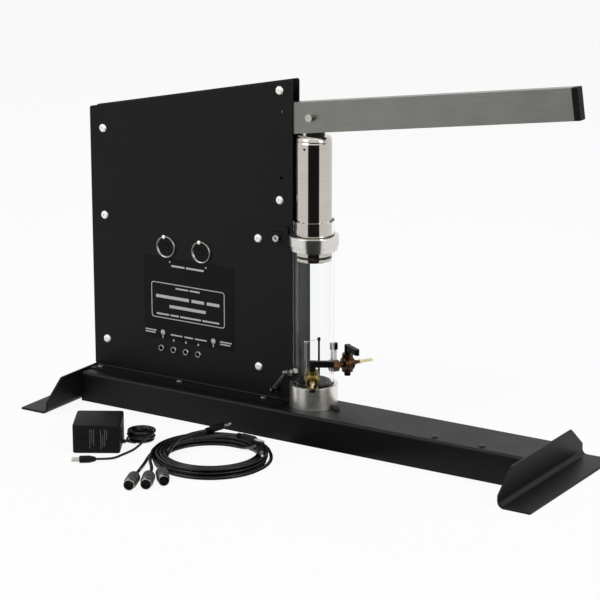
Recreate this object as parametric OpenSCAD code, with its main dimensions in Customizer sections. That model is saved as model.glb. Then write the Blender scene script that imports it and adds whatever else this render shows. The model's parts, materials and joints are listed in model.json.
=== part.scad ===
// Adiabatic gas law apparatus: a lever drives a polished piston down a clear
// cylinder, and sensors read the pressure, volume and temperature of the gas.
// X runs to the right along the base, the front is -Y and Z is up, in millimetres.
// The origin is the centre of the footprint, on the table.

/* [Base] */
// Length of the channel between the two feet
base_l = 646; // [560:2:760]
// Width of the channel, front to back
base_w = 76.2; // [74:0.2:90]
// Height of the channel's top above the table
base_h = 39; // [34:0.5:50]
// Thickness of the channel's folded sheet
base_t = 2.5; // [1.5:0.5:4]
// Outer radius of the channel's folds
base_fold = 4; // [3:0.5:7]

/* [Feet] */
// Thickness of the plate that each foot is folded from
foot_t = 3; // [2:0.5:5]
// Height of a foot
foot_h = 42; // [40:1:56]
// Length of a foot at the table, front to back
foot_l = 220; // [180:2:260]
// Length of a foot's top edge
foot_top = 156; // [110:2:170]
// Height at which the sloping corners of a foot end
foot_low = 16; // [10:1:20]
// Reach of the floor flange beyond the end of the channel
flange_out = 43; // [34:1:60]
// Inner radius of the fold in a foot
foot_fold = 6; // [3:0.5:8]

/* [Panel] */
// Width of the panel
panel_w = 305.3; // [290:0.1:330]
// Height of the panel above the base at its left edge
panel_low = 344.5; // [336:0.5:360]
// Height of the panel's right corner above the upper stop screw
panel_over_stop = 15; // [13:0.5:30]
// Thickness of each of the two plates
plate_t = 1.5; // [1:0.25:2]
// Inner radius of the fold at the foot of each plate
plate_fold = 1.5; // [1:0.25:2.5]
// Width of the lip that is screwed to the base
lip_w = 18; // [15:0.5:20]
// Space between a plate's edge and the cylinder
panel_gap = 0.3; // [0.3:0.1:2]
// Radius of the panel's upper corners
panel_corner = 3; // [1:0.5:6]
// Distance of the left screws from the panel's left edge
screw_left = 20.5; // [16:0.5:28]
// Distance of the right screws from the panel's right edge
screw_right = 18; // [14:0.5:22]
// Distance of the inner screws from the panel's right edge
screw_inner = 49.8; // [44:0.5:60]
// Height of the lower screws above the base
screw_low = 39; // [30:1:50]
// Height of the middle screws above the base
screw_mid = 204.5; // [202:0.5:215]
// Diameter of the spacers between the plates
spacer_d = 12.7; // [10:0.1:13]
// Diameter of the screws that clamp the plates
screw_d = 5; // [4:0.5:5.5]

/* [Lever] */
// Height of the lever bar
lever_h = 38.1; // [30:0.1:38.2]
// Thickness of the lever bar, front to back
lever_w = 12.7; // [12:0.1:16]
// Wall of the lever bar, which is a rectangular tube
lever_wall = 1.6; // [1.2:0.1:1.8]
// Length of the lever beyond the axis of the cylinder
lever_out = 349.5; // [250:0.5:350]
// Length of the lever behind its pivot
lever_back = 15; // [12:0.5:17]
// Clearance between the lever and each plate
lever_gap = 0.4; // [0.3:0.05:1]
// Height of the pivot above the base
pivot_h = 318; // [316:0.5:320]
// Height of the pin over the piston above the base, with the lever at rest
pin_h = 363.7; // [362:0.1:365]
// Diameter of the pivot bolt
pivot_d = 8; // [6:0.5:10]
// Diameter of the pin that drives the piston
pin_d = 6.35; // [5:0.05:7]
// Length of the head that stands out of the lever
pin_head_l = 7; // [4:0.5:9]
// Length of the lever's end cap that shows
cap_out = 8; // [4:0.5:9]

/* [Piston] */
// Outer diameter of the cylinder's clear tube
tube_od = 50.8; // [46:0.1:54]
// Wall of the clear tube
tube_wall = 3.175; // [2:0.05:4]
// Height of the tube's top above the base
tube_top = 236; // [226:1:240]
// Radial clearance of the piston in the tube
piston_fit = 0.1; // [0.05:0.01:0.1]
// Length of the piston with its cap
piston_l = 149; // [140:1:160]
// Wall of the hollow piston
piston_wall = 3; // [2:0.5:5]
// Distance between the piston's top and the driving pin
piston_drop = 28.7; // [26:0.1:29]
// Height of each seal ring's groove
groove_h = 3.2; // [2.6:0.1:4]
// Depth of each seal ring's groove
groove_deep = 2.4; // [1.6:0.1:2.6]
// Length of the crosshead block beyond each end of the pin's slot
block_end = 5; // [3:0.5:8]

/* [Cylinder] */
// Distance of the cylinder's axis from the middle of the base
tube_x = 5; // [0:0.5:20]
// Distance of the cylinder's axis behind the base's centre line
tube_y = 6.35; // [4:0.05:7]
// Outer diameter of the polished collar
collar_od = 61.8; // [58:0.1:64]
// Height of the collar
collar_h = 12.5; // [8:0.5:16]
// Height of the collar's lower face above the base
collar_up = 205; // [204:0.5:214]
// Outer diameter of the cup that holds the tube
cup_od = 60; // [57:0.5:62]
// Height of the cup
cup_h = 28; // [20:0.5:32]
// Thickness of the cup's floor
cup_floor = 6; // [4:0.5:10]
// Height of the plug inside the tube's foot
plug_h = 25; // [20:0.5:26]
// Height of the gas ports above the base
port_h = 46; // [44:0.5:52]
// Length of the two temperature sensor posts
post_l = 53; // [35:1:56]
// Diameter of the temperature sensor posts
post_d = 2.6; // [2:0.1:4]

/* [Stopcocks] */
// Diameter of a stopcock's brass barrel
cock_d = 14; // [12:0.5:15]
// Height of the barrel
cock_h = 23; // [20:0.5:26]
// Depth of the barrel below the gas line
cock_low = 10; // [9:0.5:12]
// Distance of the plug from the cylinder's axis
cock_at = 48; // [46:0.5:52]
// Diameter of the turning plug
cock_plug_d = 6; // [5:0.1:7]
// Reach of the black handle from the plug's axis
handle_reach = 27; // [18:0.5:28]
// Length of the thin outlet tube
outlet_l = 19; // [10:0.5:24]

/* [Electronics] */
// Width of the rear cover
cover_w = 242; // [236:1:250]
// Height of the rear cover above the base
cover_h = 196; // [194:0.5:197]
// Thickness of the rear cover's sheet
cover_t = 1.2; // [1:0.1:2]
// Distance between the two round sockets
socket_gap = 54; // [44:0.5:62]
// Outer diameter of a round socket's bright ring
socket_od = 29; // [26:0.5:34]
// Distance between neighbouring small jacks
jack_gap = 19; // [14:0.1:20]
// Outer diameter of a small jack's bushing
jack_od = 9; // [7:0.5:10]
// Width of the label plate
label_w = 137; // [120:1:150]
// Height of the label plate
label_h = 108; // [100:1:108]
// Thickness of the label plate
label_t = 0.5; // [0.3:0.1:1]

/* [Hidden] */

$fn = 64;
// Amount by which a cut runs past a face
over = 1;
// Clearance of pieces that are fixed to each other
seat = 0.1;
// Clearance between pieces that move past each other
run = 0.3;
// Radial clearance of a shaft in its bore
shaft_fit = 0.05;

// The panel stands in the plane of the cylinder's axis
gap_w = lever_w + 2 * lever_gap;
front_face = tube_y - gap_w / 2 - plate_t;
front_back = tube_y - gap_w / 2;
rear_front = tube_y + gap_w / 2;
rear_face = tube_y + gap_w / 2 + plate_t;
panel_x1 = tube_x - tube_od / 2 - panel_gap;
panel_x0 = panel_x1 - panel_w;
fold_top = base_h + plate_t + plate_fold;
// Narrower part below the polished collar
collar_lip_h = 6;
collar_lip_w = 1.6;
notch_x = tube_x - collar_od / 2 - panel_gap;
foot_notch_x = tube_x - cup_od / 2 - panel_gap;
left_x = panel_x0 + screw_left;
right_x = panel_x1 - screw_right;
inner_x = panel_x1 - screw_inner;

// The lever turns about the pivot and drives the pin over the cylinder's axis
pivot = [left_x, base_h + pivot_h];
pin = [tube_x, base_h + pin_h];
arm = pin - pivot;
lever_tilt = atan2(arm[1], arm[0]);
arm_r = norm(arm);
lever_up = 1.8;
lever_down = 15.8;
// Heights of the two stops that the lever's edges meet at the ends of its travel
stop_margin = 1;
stop_x = right_x - pivot[0];
stop_reach = (lever_h / 2 + spacer_d / 2 + stop_margin);
stop_high = pivot[1] + stop_x * tan(lever_tilt + lever_up) + stop_reach / cos(lever_tilt + lever_up);
stop_low = pivot[1] + stop_x * tan(lever_tilt - lever_down) - stop_reach / cos(lever_tilt - lever_down);
spacers = [[left_x, base_h + screw_low], [left_x, base_h + screw_mid],
    [inner_x, base_h + screw_low], [inner_x, base_h + screw_mid],
    [right_x, stop_low], [right_x, stop_high]];
panel_high = stop_high - base_h + panel_over_stop;
head_d = 9.5;
head_h = 2.6;
nut_d = 9;
nut_h = 4;
stop_hole_d = 4;
// Distance of each stop hole from the stop screw next to it
stop_hole_low = 28;
stop_hole_high = 26;
stop_holes = [stop_low + stop_hole_low, stop_high - stop_hole_high];
bar_in_h = lever_h - 2 * lever_wall;
bar_in_w = lever_w - 2 * lever_wall;

// The piston hangs under the pin
bore_d = tube_od - 2 * tube_wall;
piston_d = bore_d - 2 * piston_fit;
piston_top = pin[1] - piston_drop;
piston_bottom = piston_top - piston_l;
piston_cap_h = 12;
piston_lid = 2;
piston_bevel = 1.2;
crown_h = 22;
ring_clear = 0.05;
ring_d = bore_d / 2 - ring_clear - (piston_d / 2 - groove_deep + ring_clear);
ring_first = 4;
ring_step = 9;
ring_up = [ring_first, ring_first + ring_step];
block_w = bar_in_w - 2 * run;
block_over = 9;
// The pin moves this far along the block as the lever swings
slot_room = 1;
slot_play = arm_r - arm[0] + slot_room;
slot_fit = 0.2;
block_l = 2 * (slot_play + pin_d / 2 + slot_fit + block_end);
tube_z0 = base_h + cup_floor;

module turn_y(at) { translate([at[0], 0, at[1]]) rotate([-90, 0, 0]) children(); }
// A shape in the X and Z plane, given a thickness towards +Y from y0
module upright(y0, t) { translate([0, y0 + t, 0]) rotate([90, 0, 0]) linear_extrude(t) children(); }
// A shape in the Y and Z plane, run along X from x0
module along(x0, l) { translate([x0, 0, 0]) rotate([90, 0, 90]) linear_extrude(l) children(); }
module on_axis() { translate([tube_x, tube_y, 0]) children(); }
module tilted() { translate([pivot[0], tube_y, pivot[1]]) rotate([0, -lever_tilt, 0]) children(); }
function arc(c, r, a0, a1, n) = [for (i = [0:n]) c + r * [cos(a0 + (a1 - a0) * i / n),
    sin(a0 + (a1 - a0) * i / n)]];

// Base and feet
module channel_outline(w, h, r) {
    translate([-w / 2, 0]) square([w, h - r]);
    translate([-w / 2 + r, h - r - over]) square([w - 2 * r, r + over]);
    for (s = [-1, 1]) translate([s * (w / 2 - r), h - r]) circle(r);
}
lip_shares = [0.045, 0.455, 0.875];
lip_x = [for (s = lip_shares) panel_x0 + s * panel_w];
lip_screw_share = 0.42;
lip_y = front_face - lip_w * lip_screw_share;
rear_lip_y = rear_face + lip_w * lip_screw_share;
lip_hole_d = 3.4;
cup_bolt_r = 14;
cup_bolt_d = 4;
wire_hole_d = 10;
hose_d = 5;
hose_wall = 1;
// Where the hose meets the spigot of the pressure sensor: left of the cylinder's axis, in front of the
// plate and above the base
hose_left = 49;
hose_front = 10;
hose_up = 15;
hose_end = [tube_x - hose_left, front_face - hose_front, base_h + hose_up];
spigot_d = 6;
// The two screws on the right, from the cylinder's axis, and their distance in front of the centre line
deck_screw_first = 190;
deck_screw_step = 64;
deck_screw_front = 26;
deck_screw_x = [for (i = [0:1]) tube_x + deck_screw_first + i * deck_screw_step];
deck_screw_y = -deck_screw_front;
module base_channel() {
    color("dimgray") difference() {
        along(-base_l / 2, base_l) difference() {
            channel_outline(base_w, base_h, base_fold);
            translate([0, -over]) channel_outline(base_w - 2 * base_t, base_h - base_t + over,
                base_fold - base_t);
        }
        for (x = lip_x, y = [lip_y, rear_lip_y]) translate([x, y, base_h - base_t - over])
            cylinder(d = lip_hole_d, h = base_t + 2 * over);
        for (x = deck_screw_x) translate([x, deck_screw_y, base_h - base_t - over])
            cylinder(d = lip_hole_d, h = base_t + 2 * over);
        on_axis() translate([0, 0, base_h - base_t - over]) cylinder(d = wire_hole_d, h = base_t + 2 * over);
        on_axis() for (a = [0:120:240]) rotate(a) translate([cup_bolt_r, 0, base_h - base_t - over])
            cylinder(d = cup_bolt_d + 2 * seat, h = base_t + 2 * over);
    }
}
foot_out_r = foot_fold + foot_t;
module foot_fold_shape() {
    // Upright part, fold and floor flange, seen along Y
    translate([0, foot_out_r]) square([foot_t, foot_h - foot_out_r]);
    translate([foot_out_r, 0]) square([flange_out - foot_out_r, foot_t]);
    intersection() {
        translate([foot_out_r, foot_out_r]) difference() {
            circle(foot_out_r);
            circle(foot_fold);
        }
        square(foot_out_r);
    }
}
module foot() {
    intersection() {
        translate([0, foot_l / 2, 0]) rotate([90, 0, 0]) linear_extrude(foot_l) foot_fold_shape();
        along(-over, flange_out + 2 * over)
            polygon([[-foot_l / 2, 0], [foot_l / 2, 0], [foot_l / 2, foot_low],
            [foot_top / 2, foot_h], [-foot_top / 2, foot_h], [-foot_l / 2, foot_low]]);
    }
}
module right_foot() { color("dimgray") translate([base_l / 2, 0, 0]) foot(); }
module left_foot() { color("dimgray") mirror([1, 0, 0]) translate([base_l / 2, 0, 0]) foot(); }
dome_d = 8;
dome_h = 2.2;
dome_top_d = 5;
dome_shank = 3;
module dome_screw(grip) {
    // A low domed head over a shank that passes through the sheets below it
    cylinder(d = dome_d, h = dome_h / 2);
    translate([0, 0, dome_h / 2]) cylinder(d1 = dome_d, d2 = dome_top_d, h = dome_h / 2);
    translate([0, 0, -grip]) cylinder(d = dome_shank, h = grip);
}
module base_screws() {
    color("silver") {
        for (x = lip_x) {
            translate([x, lip_y, base_h + plate_t]) dome_screw(plate_t + base_t + nut_h);
            translate([x, rear_lip_y, base_h + plate_t]) dome_screw(plate_t + base_t + nut_h);
        }
        for (x = deck_screw_x) translate([x, deck_screw_y, base_h]) dome_screw(base_t + nut_h);
    }
    cup_screws();
}

// Panel of two plates
module plate_outline() {
    slope = atan2(panel_high - panel_low, panel_w);
    top0 = base_h + panel_low;
    top1 = base_h + panel_high;
    c0 = [panel_x0 + panel_corner, top0 + panel_corner * tan(slope) - panel_corner / cos(slope)];
    c1 = [panel_x1 - panel_corner, top1 - panel_corner * tan(slope) - panel_corner / cos(slope)];
    difference() {
        polygon(concat([[lip_x0, fold_top], [lip_x0, foot_h + run], [panel_x0, foot_h + run],
            [panel_x0, c0[1]]], arc(c0, panel_corner, 180, 90 + slope, 5),
            arc(c1, panel_corner, 90 + slope, 0, 5), [[panel_x1, fold_top]]));
        translate([notch_x, base_h + collar_up - collar_lip_h - panel_gap])
            square([collar_od, collar_h + collar_lip_h + 2 * panel_gap]);
        translate([foot_notch_x, 0]) square([cup_od, base_h + cup_h + panel_gap]);
    }
}
module lip_shape() {
    // Lip and fold of the front plate, seen along X
    c = [front_face - plate_fold, fold_top];
    translate([front_face - lip_w, base_h]) square([lip_w - plate_fold, plate_t]);
    intersection() {
        translate(c) difference() {
            circle(plate_fold + plate_t);
            circle(plate_fold);
        }
        translate([c[0], base_h]) square(plate_fold + plate_t);
    }
}
module clamp_holes() {
    for (p = spacers) turn_y(p) cylinder(d = screw_d + 2 * seat, h = base_w, center = true);
    turn_y(pivot) cylinder(d = pivot_d + 2 * shaft_fit, h = base_w, center = true);
    for (z = stop_holes) turn_y([right_x + stop_hole_d / 2, z])
        cylinder(d = stop_hole_d, h = base_w, center = true);
}
lip_x0 = max(panel_x0, -base_l / 2 + run);
lip_x1 = foot_notch_x - run;
module front_plate() {
    color("dimgray") difference() {
        union() {
            upright(front_face, plate_t) plate_outline();
            along(lip_x0, lip_x1 - lip_x0) lip_shape();
        }
        clamp_holes();
        for (x = lip_x) translate([x, lip_y, base_h - over]) cylinder(d = lip_hole_d, h = plate_t + 2 * over);
        for (s = sockets) turn_y(s) cylinder(d = socket_hole_d, h = base_w, center = true);
        for (j = jacks) turn_y(j) cylinder(d = jack_hole_d, h = base_w, center = true);
        turn_y([hose_end[0], hose_end[2]]) cylinder(d = spigot_d + 2 * seat, h = base_w, center = true);
    }
}
module rear_plate() {
    color("dimgray") difference() {
        union() {
            upright(rear_front, plate_t) plate_outline();
            translate([0, 2 * tube_y, 0]) mirror([0, 1, 0]) along(lip_x0, lip_x1 - lip_x0) lip_shape();
        }
        clamp_holes();
        for (x = lip_x) translate([x, rear_lip_y, base_h - over])
            cylinder(d = lip_hole_d, h = plate_t + 2 * over);
        upright(rear_front - over, plate_t + 2 * over) translate([window_x, window_z])
            square([window_w, window_h]);
        for (z = track_screw_z) turn_y([track_x + track_w / 2, z])
            cylinder(d = lip_hole_d, h = base_w, center = true);
    }
}
module plate_spacers() {
    color("silver") for (p = spacers) turn_y(p) translate([0, 0, front_back]) difference() {
        cylinder(d = spacer_d, h = gap_w);
        translate([0, 0, -over]) cylinder(d = screw_d + 2 * seat, h = gap_w + 2 * over);
    }
}
bracket_t = 2;
bracket_h = 10;
bracket_out = 52;
bracket_screw_out = 46.5;
bracket_screw_up = 4;
bracket_x = [tube_x - bracket_out, tube_x - collar_od / 2 - run];
bracket_screw = [tube_x - bracket_screw_out, base_h + collar_up + bracket_screw_up];
tab_w = 7;
tab_h = 18;
module panel_screws() {
    color("silver") {
        for (p = spacers) turn_y(p) {
            translate([0, 0, front_face - head_h]) cylinder(d = head_d, h = head_h);
            translate([0, 0, front_face]) cylinder(d = screw_d, h = gap_w + 2 * plate_t + nut_h);
        }
        turn_y(bracket_screw) translate([0, 0, front_face - bracket_t - 2 * head_h])
            cylinder(d = head_d, h = 2 * head_h);
    }
}
module panel_nuts() {
    color("silver") for (p = spacers) turn_y(p) translate([0, 0, rear_face]) difference() {
        cylinder(d = nut_d, h = nut_h, $fn = 6);
        translate([0, 0, -over]) cylinder(d = screw_d + 2 * seat, h = nut_h + 2 * over);
    }
}
module pivot_bolt() {
    color("silver") turn_y(pivot) {
        translate([0, 0, front_face - head_h]) cylinder(d = pivot_d + head_h, h = head_h);
        translate([0, 0, front_face]) cylinder(d = pivot_d, h = gap_w + 2 * plate_t);
        translate([0, 0, rear_face]) cylinder(d = pivot_d + 2 * head_h, h = nut_h, $fn = 6);
    }
}

// Lever
bushing_wall = 2;
bushing_d = pivot_d + 2 * shaft_fit + 2 * bushing_wall;
slot_cut_l = block_l + 2 * slot_play + 2 * (lever_h / 2) * sin(lever_tilt + lever_up) + 2 * (run + slot_room);
module pivot_bushing() {
    color("peru") turn_y(pivot) translate([0, 0, tube_y - lever_w / 2 - lever_gap / 2]) difference() {
        cylinder(d = bushing_d, h = lever_w + lever_gap);
        translate([0, 0, -over]) cylinder(d = pivot_d + 2 * shaft_fit, h = lever_w + lever_gap + 2 * over);
    }
}
lever_end = arm_r + lever_out;
module lever_bar() {
    color("silver") tilted() difference() {
        translate([-lever_back, -lever_w / 2, -lever_h / 2]) cube([lever_back + lever_end, lever_w, lever_h]);
        translate([-lever_back - over, -bar_in_w / 2, -bar_in_h / 2])
            cube([lever_back + lever_end + 2 * over, bar_in_w, bar_in_h]);
        rotate([-90, 0, 0]) cylinder(d = bushing_d + 2 * seat, h = lever_w + 2 * over, center = true);
        translate([arm_r, 0, 0]) rotate([-90, 0, 0]) cylinder(d = pin_d + 2 * seat,
            h = lever_w + 2 * over, center = true);
        translate([arm_r - slot_cut_l / 2, -bar_in_w / 2, -lever_h / 2 - over])
            cube([slot_cut_l, bar_in_w, lever_h / 2]);
    }
}
cap_plug_l = 14;
module lever_end_cap() {
    color("dimgray") tilted() {
        translate([lever_end, -lever_w / 2 - seat, -lever_h / 2 - seat])
            cube([cap_out, lever_w + 2 * seat, lever_h + 2 * seat]);
        translate([lever_end - cap_plug_l, -bar_in_w / 2 + seat, -bar_in_h / 2 + seat])
            cube([cap_plug_l, bar_in_w - 2 * seat, bar_in_h - 2 * seat]);
    }
}
pin_head_d = 9.5;
pin_nut_h = 5;
pin_nut_d = 10.5;
module lever_pin() {
    color("silver") turn_y(pin) translate([0, 0, tube_y - lever_w / 2 - pin_head_l]) {
        cylinder(d = pin_head_d, h = pin_head_l);
        cylinder(d = pin_d, h = pin_head_l + lever_w + pin_nut_h + over);
    }
    lever_nut();
}
module lever_nut() {
    color("silver") turn_y(pin) translate([0, 0, tube_y + lever_w / 2]) difference() {
        cylinder(d = pin_nut_d, h = pin_nut_h, $fn = 6);
        translate([0, 0, -over]) cylinder(d = pin_d + 2 * seat, h = pin_nut_h + 2 * over);
    }
}

// Piston
arm_bar_h = 4;
module crosshead_block() {
    slot_h = pin_d + 2 * slot_fit;
    color("dimgray") difference() {
        translate([tube_x - block_l / 2, tube_y - block_w / 2, piston_top])
            cube([block_l, block_w, pin[1] + block_over - piston_top]);
        turn_y(pin) {
            translate([-slot_play, -slot_h / 2, 0]) cube([2 * slot_play, slot_h, base_w]);
            for (s = [-1, 1]) translate([s * slot_play, 0, 0]) cylinder(d = slot_h, h = base_w);
        }
    }
}
module piston() {
    color("gainsboro") on_axis() difference() {
        union() {
            translate([0, 0, piston_bottom]) cylinder(d1 = piston_d - piston_bevel, d2 = piston_d,
                h = piston_bevel);
            translate([0, 0, piston_bottom + piston_bevel]) cylinder(d = piston_d,
                h = piston_l - piston_bevel - piston_lid);
        }
        translate([0, 0, piston_bottom + crown_h]) cylinder(d = piston_d - 2 * piston_wall, h = piston_l);
        for (z = ring_up) translate([0, 0, piston_bottom + z]) difference() {
            cylinder(d = piston_d + over, h = groove_h);
            translate([0, 0, -over]) cylinder(d = piston_d - 2 * groove_deep, h = groove_h + 2 * over);
        }
        set_screw(set_screw_d + 2 * seat);
    }
}
set_screw_d = 3;
set_screw_in = 4;
set_screw_l = piston_wall + set_screw_in;
module set_screw(d) {
    translate([0, 0, piston_top - piston_lid - piston_cap_h / 2]) rotate([90, 0, 0])
        translate([0, 0, piston_d / 2 - set_screw_l]) cylinder(d = d, h = set_screw_l);
}
module piston_set_screw() {
    color("black") on_axis() intersection() {
        set_screw(set_screw_d);
        translate([0, 0, piston_bottom]) cylinder(d = piston_d - set_screw_d / 2, h = piston_l);
    }
}
module piston_cap() {
    color("gainsboro") on_axis() difference() {
        union() {
            translate([0, 0, piston_top - piston_lid - piston_cap_h])
                cylinder(d = piston_d - 2 * piston_wall - 2 * seat, h = piston_cap_h);
            translate([0, 0, piston_top - piston_lid]) cylinder(d1 = piston_d,
                d2 = piston_d - 2 * piston_bevel, h = piston_lid);
        }
        set_screw(set_screw_d + 2 * seat);
    }
}
module piston_seal_rings() {
    color("black") on_axis() for (z = ring_up) translate([0, 0, piston_bottom + z + groove_h / 2])
        rotate_extrude() translate([piston_d / 2 - groove_deep + ring_clear + ring_d / 2, 0])
            circle(d = ring_d, $fn = 24);
}

// Cylinder
port_z = base_h + port_h;
port_d = 6;
ports = [-60, 60, -120];
module at_port(a) { on_axis() translate([0, 0, port_z]) rotate(a) children(); }
module cylinder_tube() {
    color("lightblue") difference() {
        on_axis() translate([0, 0, tube_z0]) difference() {
            cylinder(d = tube_od, h = base_h + tube_top - tube_z0);
            translate([0, 0, -over]) cylinder(d = bore_d, h = base_h + tube_top - tube_z0 + 2 * over);
        }
        for (a = ports) at_port(a) rotate([0, 90, 0]) cylinder(d = port_d + 2 * seat, h = tube_od);
    }
}
module tube_collar() {
    color("gainsboro") on_axis() translate([0, 0, base_h + collar_up - collar_lip_h]) difference() {
        union() {
            cylinder(d = collar_od - 2 * collar_lip_w, h = collar_h);
            translate([0, 0, collar_lip_h]) cylinder(d = collar_od, h = collar_h);
        }
        translate([0, 0, -over]) cylinder(d = tube_od + 2 * seat, h = collar_h + collar_lip_h + 2 * over);
    }
}
module collar_bracket() {
    z = base_h + collar_up + collar_h / 2;
    color("gainsboro") difference() {
        union() {
            translate([bracket_x[0], front_face - bracket_t, z - bracket_h / 2])
                cube([bracket_x[1] - bracket_x[0], bracket_t, bracket_h]);
            translate([bracket_x[1] - tab_w, front_face - bracket_t, z - bracket_h / 2])
                cube([tab_w, bracket_t, tab_h]);
        }
        turn_y(bracket_screw) cylinder(d = screw_d / 2, h = base_w, center = true);
    }
}
module base_cup() {
    color("gainsboro") on_axis() translate([0, 0, base_h]) difference() {
        cylinder(d = cup_od, h = cup_h);
        translate([0, 0, cup_floor]) cylinder(d = tube_od + 2 * seat, h = cup_h);
        translate([0, 0, -over]) cylinder(d = wire_hole_d, h = cup_h);
        for (a = [0:120:240]) rotate(a) translate([cup_bolt_r, 0, -over])
            cylinder(d = cup_bolt_d + 2 * seat, h = cup_h);
    }
}
// Screws from under the deck through the cup's floor into the plug
module cup_screws() {
    color("silver") on_axis() for (a = [0:120:240]) rotate(a) translate([cup_bolt_r, 0, base_h - base_t]) {
        cylinder(d = cup_bolt_d, h = base_t + cup_floor + plug_h / 3);
        translate([0, 0, -dome_h]) cylinder(d = dome_d, h = dome_h);
    }
}
module cylinder_plug() {
    color("dimgray") on_axis() translate([0, 0, tube_z0]) difference() {
        cylinder(d = bore_d - 2 * seat, h = plug_h);
        translate([0, 0, -over]) cylinder(d = wire_hole_d, h = plug_h / 2 + over);
        for (a = [0:120:240]) rotate(a) translate([cup_bolt_r, 0, -over])
            cylinder(d = cup_bolt_d + 2 * seat, h = plug_h / 3 + over + seat);
        for (p = post_at) translate([p[0], p[1], plug_h / 2]) cylinder(d = post_d + 2 * seat, h = plug_h);
    }
}
// Places of the posts, as shares of the bore
post_shares = [[-0.11, -0.25], [0.02, 0.25]];
post_at = [for (s = post_shares) s * bore_d];
post_top = tube_z0 + plug_h + post_l;
tip_d = 4;
wire_d = 0.6;
module sensor_posts() {
    on_axis() fine_wire();
    color("gray") on_axis() for (p = post_at) translate([p[0], p[1], tube_z0 + plug_h / 2 + seat]) {
        cylinder(d = post_d, h = plug_h / 2 + post_l - tip_d / 2);
        translate([0, 0, plug_h / 2 + post_l - tip_d]) cylinder(d = tip_d, h = tip_d);
    }
}
module fine_wire() {
    v = post_at[1] - post_at[0];
    l = norm(v) - tip_d;
    color("silver") translate([post_at[0][0], post_at[0][1], post_top - tip_d / 2]) rotate(atan2(v[1], v[0]))
        translate([tip_d / 2, 0, 0]) rotate([0, 90, 0]) cylinder(d = wire_d, h = l);
}

// Stopcocks, drawn with the gas running along +X from the cylinder's axis
hex_d = 16;
hex_l = 8;
cock_top = cock_h - cock_low;
neck_d = 8;
outlet_d = 3;
outlet_bore = 1.6;
nozzle_l = 7;
nozzle_d = 4;
plug_over = 4;
knob_d = 8;
knob_h = 5;
handle_w = 6;
handle_h = 7.5;
hub_d = 8;
hub_h = 3.5;
cup_clear = tube_od / 2 + run;
module stopcock_body() {
    difference() {
        union() {
            translate([cup_clear - tube_wall - 2 * run, 0, 0]) rotate([0, 90, 0])
                cylinder(d = port_d, h = tube_wall + 2 * run);
            translate([cup_clear, 0, 0]) rotate([0, 90, 0]) rotate(30)
                cylinder(d = hex_d, h = hex_l, $fn = 6);
            translate([cup_clear + hex_l, 0, 0]) rotate([0, 90, 0])
                cylinder(d = neck_d, h = cock_at + cock_d / 2 + over - cup_clear - hex_l);
            translate([cock_at, 0, -cock_low]) cylinder(d = cock_d, h = cock_h);
            translate([cock_at + cock_d / 2 + over, 0, 0]) rotate([0, 90, 0])
                cylinder(d1 = neck_d, d2 = nozzle_d, h = nozzle_l);
            translate([cock_at + cock_d / 2 + over + nozzle_l, 0, 0]) rotate([0, 90, 0])
                cylinder(d = outlet_d, h = outlet_l);
        }
        translate([cock_at, 0, -cock_h]) cylinder(d = cock_plug_d + 2 * shaft_fit, h = 2 * cock_h);
        rotate([0, 90, 0]) cylinder(d = outlet_bore, h = cock_at + cock_d + nozzle_l + outlet_l + over);
    }
}
module stopcock_plug() {
    difference() {
        translate([cock_at, 0, -cock_low - plug_over]) cylinder(d = cock_plug_d,
            h = cock_h + 2 * plug_over);
        translate([cock_at, cock_plug_d, 0]) rotate([90, 0, 0])
            cylinder(d = outlet_bore, h = 2 * cock_plug_d);
    }
}
module stopcock_handle() {
    // Hub and lever over the barrel, and the knob under it that draws the plug down
    difference() {
        union() {
            translate([cock_at, 0, cock_top + run]) cylinder(d = hub_d, h = hub_h + handle_h);
            translate([cock_at - handle_w / 2, 0, cock_top + run + hub_h])
                cube([handle_w, handle_reach - handle_w / 2, handle_h]);
            translate([cock_at, handle_reach - handle_w / 2, cock_top + run + hub_h])
                cylinder(d = handle_w, h = handle_h);
            translate([cock_at, 0, -cock_low - run - knob_h]) cylinder(d = knob_d, h = knob_h);
        }
        translate([cock_at, 0, -cock_low - plug_over - seat])
            cylinder(d = cock_plug_d + 2 * seat, h = cock_h + 2 * plug_over + 2 * seat);
    }
}
module front_stopcock_body() { color("goldenrod") at_port(ports[0]) stopcock_body(); }
module front_stopcock_plug() { color("goldenrod") at_port(ports[0]) stopcock_plug(); }
module front_stopcock_handle() { color("black") at_port(ports[0]) stopcock_handle(); }
module rear_stopcock_body() { color("goldenrod") at_port(ports[1]) stopcock_body(); }
module rear_stopcock_plug() { color("goldenrod") at_port(ports[1]) stopcock_plug(); }
module rear_stopcock_handle() { color("black") at_port(ports[1]) mirror([0, 1, 0]) stopcock_handle(); }
riser_d = 3.6;
riser_h = 14;
bleed_cap_d = 6;
bleed_cap_h = 8;
riser_off = 2;
riser_at = tube_od / 2 + run + bleed_cap_d / 2 + riser_off;
module bleed_riser() {
    color("white") at_port(ports[1]) translate([riser_at, 0, hex_d / 2 * cos(30) + seat])
        cylinder(d = riser_d, h = riser_h);
}
module bleed_cap() {
    color("black") at_port(ports[1]) translate([riser_at, 0, hex_d / 2 * cos(30) + seat + riser_h])
        cylinder(d = bleed_cap_d, h = bleed_cap_h);
}

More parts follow.
